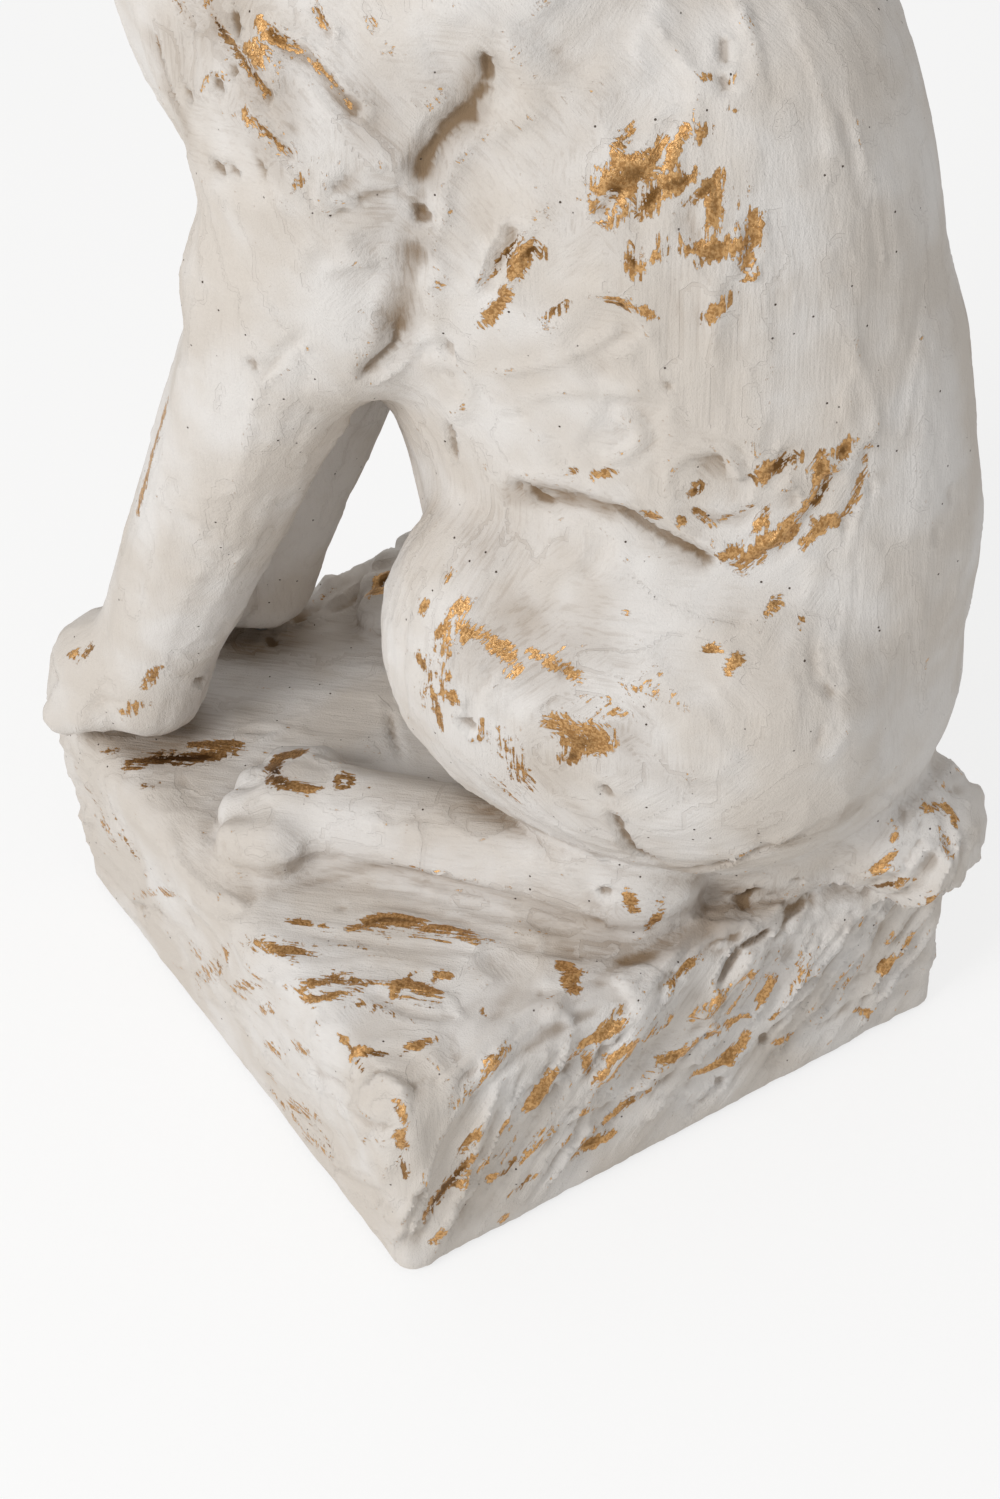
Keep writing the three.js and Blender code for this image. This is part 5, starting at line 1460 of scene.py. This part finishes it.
def painted_resin():
    material, tree = new_material("painted_cold_cast_resin")
    spot = add(tree, "ShaderNodeTexCoord").outputs["Object"]
    value = {n: add(tree, "ShaderNodeAttribute", attribute_name=n).outputs["Fac"] for n in SURFACE}
    hand = add(tree, "ShaderNodeAttribute", attribute_name="grain").outputs["Vector"]

    def noise(size, detail=2.0, rough=0.55, at=spot):
        inputs = {"Vector": at, "Scale": per_mm(size), "Detail": detail, "Roughness": rough}
        return add(tree, "ShaderNodeTexNoise", inputs).outputs["Fac"]

    def maths(kind, a, b):
        return add(tree, "ShaderNodeMath", {0: a, 1: b}, operation=kind).outputs[0]

    def times(a, b):
        return maths("MULTIPLY", a, b)

    def plus(a, b):
        return maths("ADD", a, b)

    def between(v, low, high, to_low=0.0, to_high=1.0):
        inputs = {"Value": v, "From Min": low, "From Max": high, "To Min": to_low, "To Max": to_high}
        return add(tree, "ShaderNodeMapRange", inputs, interpolation_type="SMOOTHSTEP").outputs["Result"]

    def mixed(share, a, b):
        return add(tree, "ShaderNodeMix", {0: share, 6: a, 7: b}, data_type="RGBA").outputs[2]

    def vector(kind, a, b, result="Vector", **more):
        return add(tree, "ShaderNodeVectorMath", {0: a, 1: b, **more}, operation=kind).outputs[result]

    def bristles():
        """Noise drawn out the way that the hands moved, mixed from a few ways, the nearest counting most."""
        total, weights = None, None
        for way in BRISTLE_WAYS:
            along = vector("DOT_PRODUCT", spot, way, "Value")
            pulled = add(
                tree, "ShaderNodeVectorMath", {0: way, "Scale": along}, operation="SCALE"
            ).outputs[0]
            pulled = add(
                tree, "ShaderNodeVectorMath", {0: pulled, "Scale": 1 - DRAWN_OUT}, operation="SCALE"
            ).outputs[0]
            streak = noise(BRISTLE_MM, 2.0, 0.6, vector("SUBTRACT", spot, pulled))
            weight = maths("POWER", maths("ABSOLUTE", vector("DOT_PRODUCT", hand, way, "Value"), 0.0), 24.0)
            streak = times(streak, weight)
            total = streak if total is None else plus(total, streak)
            weights = weight if weights is None else plus(weights, weight)
        return maths("DIVIDE", total, maths("MAXIMUM", weights, 0.001))

    flake, crumb, grain_noise, tone = (
        noise(FLAKE_MM, 3), noise(CRUMB_MM, 2), noise(GRAIN_MM, 3, 0.7), noise(TONE_MM, 3)
    )
    brush, bristle = value["lines"], bristles()

    stands_out = value["hollow"]
    wear = plus(value["rub"], between(stands_out, -0.7, 0.8, -0.24, 0.24))
    wear = plus(wear, times(brush, 0.05))
    wear = plus(wear, between(bristle, 0.36, 0.64, -0.25, 0.25))
    wear = plus(wear, between(flake, 0.3, 0.7, -0.16, 0.16))
    wear = plus(wear, between(crumb, 0.3, 0.7, -0.1, 0.1))
    worn = between(wear, 0.62, 0.66)
    worn_edge = between(wear, 0.50, 0.64)

    # Pinholes are painted dark brown: wash caught in them and painted shade inside holes too fine to shade
    # themselves; the same mask sinks them in the bump.
    pits = add(
        tree, "ShaderNodeTexVoronoi", {"Vector": spot, "Scale": per_mm(PIT_MM), "Randomness": 1.0}
    ).outputs
    few = between(pits["Color"], 0.6, 0.64)
    pit = times(between(pits["Distance"], 0.085, 0.045), few)

    # Painted shade and brown wash in one: darker in hollows and fine troughs below the clay round them, and
    # where the shade value says clay stands in front.
    shade_and_wash = plus(between(stands_out, -0.15, -1.7, 0.0, 0.45), times(value["shade"], 0.66))
    shade_and_wash = plus(shade_and_wash, between(stands_out, -1.9, -3.6, 0.0, 0.5))
    shade_and_wash = plus(shade_and_wash, between(bristle, 0.52, 0.34, 0.0, 0.10))
    shade_and_wash = plus(shade_and_wash, between(brush, -0.5, -2.2, 0.0, 0.08))
    paint = mixed(between(tone, 0.35, 0.65), colour(PAINT_LIGHT), colour(PAINT_WARM))
    paint = mixed(between(shade_and_wash, 0.04, 0.95), paint, colour(SHADE_AND_WASH))
    paint = mixed(times(worn_edge, 0.35), paint, colour(THIN_PAINT))
    paint = mixed(pit, paint, colour(PIT_SHADE_AND_WASH))
    gold = mixed(between(crumb, 0.4, 0.6), colour(GOLD), colour(GOLD_LIGHT))
    deep = plus(between(stands_out, 0.4, -0.5, 0.0, 0.5), between(value["rub"], 0.9, 1.1, 0.0, 0.5))
    deep = times(deep, between(tone, 0.4, 0.6, 0.3, 1.4))
    gold = mixed(deep, gold, colour(GOLD_DEEP))
    skin_colour = mixed(worn, paint, gold)

    height = times(grain_noise, 0.22)
    height = plus(height, times(crumb, 0.1))
    height = plus(height, times(bristle, 0.28))
    height = plus(height, times(pit, -0.4))
    height = plus(height, times(worn_edge, -0.2))
    bump = add(
        tree, "ShaderNodeBump", {"Height": height, "Distance": MM, "Strength": 1.0}
    ).outputs["Normal"]
    rough = between(worn, 0, 1, 0.82, 0.38)
    shader = add(tree, "ShaderNodeBsdfPrincipled", {
        "Base Color": skin_colour, "Metallic": worn, "Roughness": rough, "Normal": bump,
        "Specular IOR Level": 0.35,
    })
    add(tree, "ShaderNodeOutputMaterial", {"Surface": shader.outputs[0]})
    return material


resin = painted_resin()
for piece in castings.values():
    piece.data.materials.clear()
    piece.data.materials.append(resin)

# %% [markdown]
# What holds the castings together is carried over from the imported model: screws, studs, washers, nuts,
# dowels and the sleeve in zinc-plated steel, a softwood block in the rump, a fibreboard that closes the
# plinth, a rubber plug over the filling hole, and a felt sheet underneath. Only the felt shows, and only
# from below.

# %% The hardware
def plain(
    name, tone, rough, metal=0.0, spread=0.12, size=0.6, grain_size=0.25, depth=0.05, stretch=(1, 1, 1),
    **more
):
    """A material of one tone, uneven by a share of it, with fine grain; stretch draws the pattern out."""
    material, tree = new_material(name)
    spot = add(tree, "ShaderNodeTexCoord").outputs["Object"]
    drawn = add(tree, "ShaderNodeMapping", {"Vector": spot, "Scale": stretch}).outputs[0]
    broad = add(
        tree, "ShaderNodeTexNoise", {"Vector": drawn, "Scale": per_mm(size), "Detail": 3.0}
    ).outputs["Fac"]
    fine = add(
        tree, "ShaderNodeTexNoise", {"Vector": drawn, "Scale": per_mm(grain_size), "Detail": 2.0}
    ).outputs["Fac"]
    dark = tuple(c * (1 - spread) ** 2 for c in colour(tone)[:3]) + (1.0,)
    light = tuple(min(1.0, c * (1 + spread)) for c in colour(tone)[:3]) + (1.0,)
    tones = add(tree, "ShaderNodeMix", {0: broad, 6: dark, 7: light}, data_type="RGBA").outputs[2]
    bump = add(
        tree, "ShaderNodeBump", {"Height": fine, "Distance": depth * MM, "Strength": 1.0}
    ).outputs["Normal"]
    shader = add(tree, "ShaderNodeBsdfPrincipled", {
        "Base Color": tones, "Roughness": rough, "Metallic": metal, "Normal": bump, **more,
    })
    add(tree, "ShaderNodeOutputMaterial", {"Surface": shader.outputs[0]})
    return material


steel = plain(
    "zinc_plated_steel", "#A9ABAD", 0.38, metal=1.0, spread=0.06, size=4, grain_size=0.4, depth=0.01
)
wood = plain(
    "softwood", "#C29A66", 0.65, spread=0.2, size=3, grain_size=0.8, depth=0.08, stretch=(1, 1, 0.1)
)
board = plain("fibreboard", "#9A7A55", 0.8, spread=0.15, size=1.5, grain_size=0.5, depth=0.06)
rubber = plain("black_rubber", "#1E1E1E", 0.7, spread=0.1, size=5, grain_size=0.5, depth=0.02)
felt = plain(
    "wool_felt", "#5C5850", 0.95, spread=0.3, size=1.2, grain_size=0.35, depth=0.35,
    **{"Sheen Weight": 0.4}
)
OTHERS = {"anchor_block": wood, "base_board": board, "fill_plug": rubber, "base_felt": felt}
for name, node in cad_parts.items():
    if name not in castings:
        node.data.materials.clear()
        node.data.materials.append(OTHERS.get(name, steel))

# %% [markdown]
# The studio is plain: a pale floor that runs on to the horizon, one large soft light high up in front of
# the hare and to the left of the photograph, and a bright world that fills the shadows. The camera sees the
# world as white.

# %% The studio
FLOOR_HALF = 6.0
WORLD_FILL = 0.56
KEY_AT, KEY_AIM, KEY_WIDE, KEY_POWER = (1.55, -1.0, 1.35), (0, 0, 0.2), 0.9, 24  # metres and watts
BACKDROP_SHARE = 0.75  # how much of the floor's look is plain white paper; the rest keeps the shadow
floor_mesh = bpy.data.meshes.new("studio_floor")
square = [(x * FLOOR_HALF, y * FLOOR_HALF, 0) for x, y in ((-1, -1), (1, -1), (1, 1), (-1, 1))]
floor_mesh.from_pydata(square, [], [(0, 1, 2, 3)])
floor = bpy.data.objects.new("studio_floor", floor_mesh)
bpy.context.scene.collection.objects.link(floor)
floor_paint, tree = new_material("studio_floor_paint")
matt = add(
    tree, "ShaderNodeBsdfPrincipled",
    {"Base Color": colour("#F7F6F4"), "Roughness": 0.9, "Specular IOR Level": 0.1}
)
sight = add(tree, "ShaderNodeLightPath").outputs
direct = add(
    tree, "ShaderNodeMath", {0: sight["Is Camera Ray"], 1: sight["Is Glossy Ray"]}, operation="MAXIMUM"
).outputs[0]
bright = add(tree, "ShaderNodeMath", {0: direct, 1: BACKDROP_SHARE}, operation="MULTIPLY").outputs[0]
paper = add(tree, "ShaderNodeEmission", {"Color": (1.0, 1.0, 1.0, 1.0), "Strength": 1.0})
seen_floor = add(tree, "ShaderNodeMixShader", {0: bright, 1: matt.outputs[0], 2: paper.outputs[0]})
add(tree, "ShaderNodeOutputMaterial", {"Surface": seen_floor.outputs[0]})
floor_mesh.materials.append(floor_paint)

world = bpy.data.worlds.new("studio")
bpy.context.scene.world = world
world.use_nodes = True
tree = world.node_tree
tree.nodes.clear()
seen = add(tree, "ShaderNodeLightPath").outputs["Is Camera Ray"]
fill = add(tree, "ShaderNodeBackground", {"Color": (1.0, 1.0, 1.0, 1.0), "Strength": WORLD_FILL}).outputs[0]
white = add(tree, "ShaderNodeBackground", {"Color": (1.0, 1.0, 1.0, 1.0), "Strength": 1.0}).outputs[0]
both_of = add(tree, "ShaderNodeMixShader", {0: seen, 1: fill, 2: white}).outputs[0]
add(tree, "ShaderNodeOutputWorld", {"Surface": both_of})


def area_lamp(name, place, aim, wide, power):
    lamp = bpy.data.objects.new(name, bpy.data.lights.new(name, "AREA"))
    lamp.data.shape = "DISK"
    lamp.data.size = wide
    lamp.data.energy = power
    lamp.location = place
    lamp.rotation_euler = (Vector(aim) - Vector(place)).to_track_quat("-Z", "Y").to_euler()
    bpy.context.scene.collection.objects.link(lamp)


area_lamp("key", KEY_AT, KEY_AIM, KEY_WIDE, KEY_POWER)

bpy.context.scene.view_settings.view_transform = "Standard"
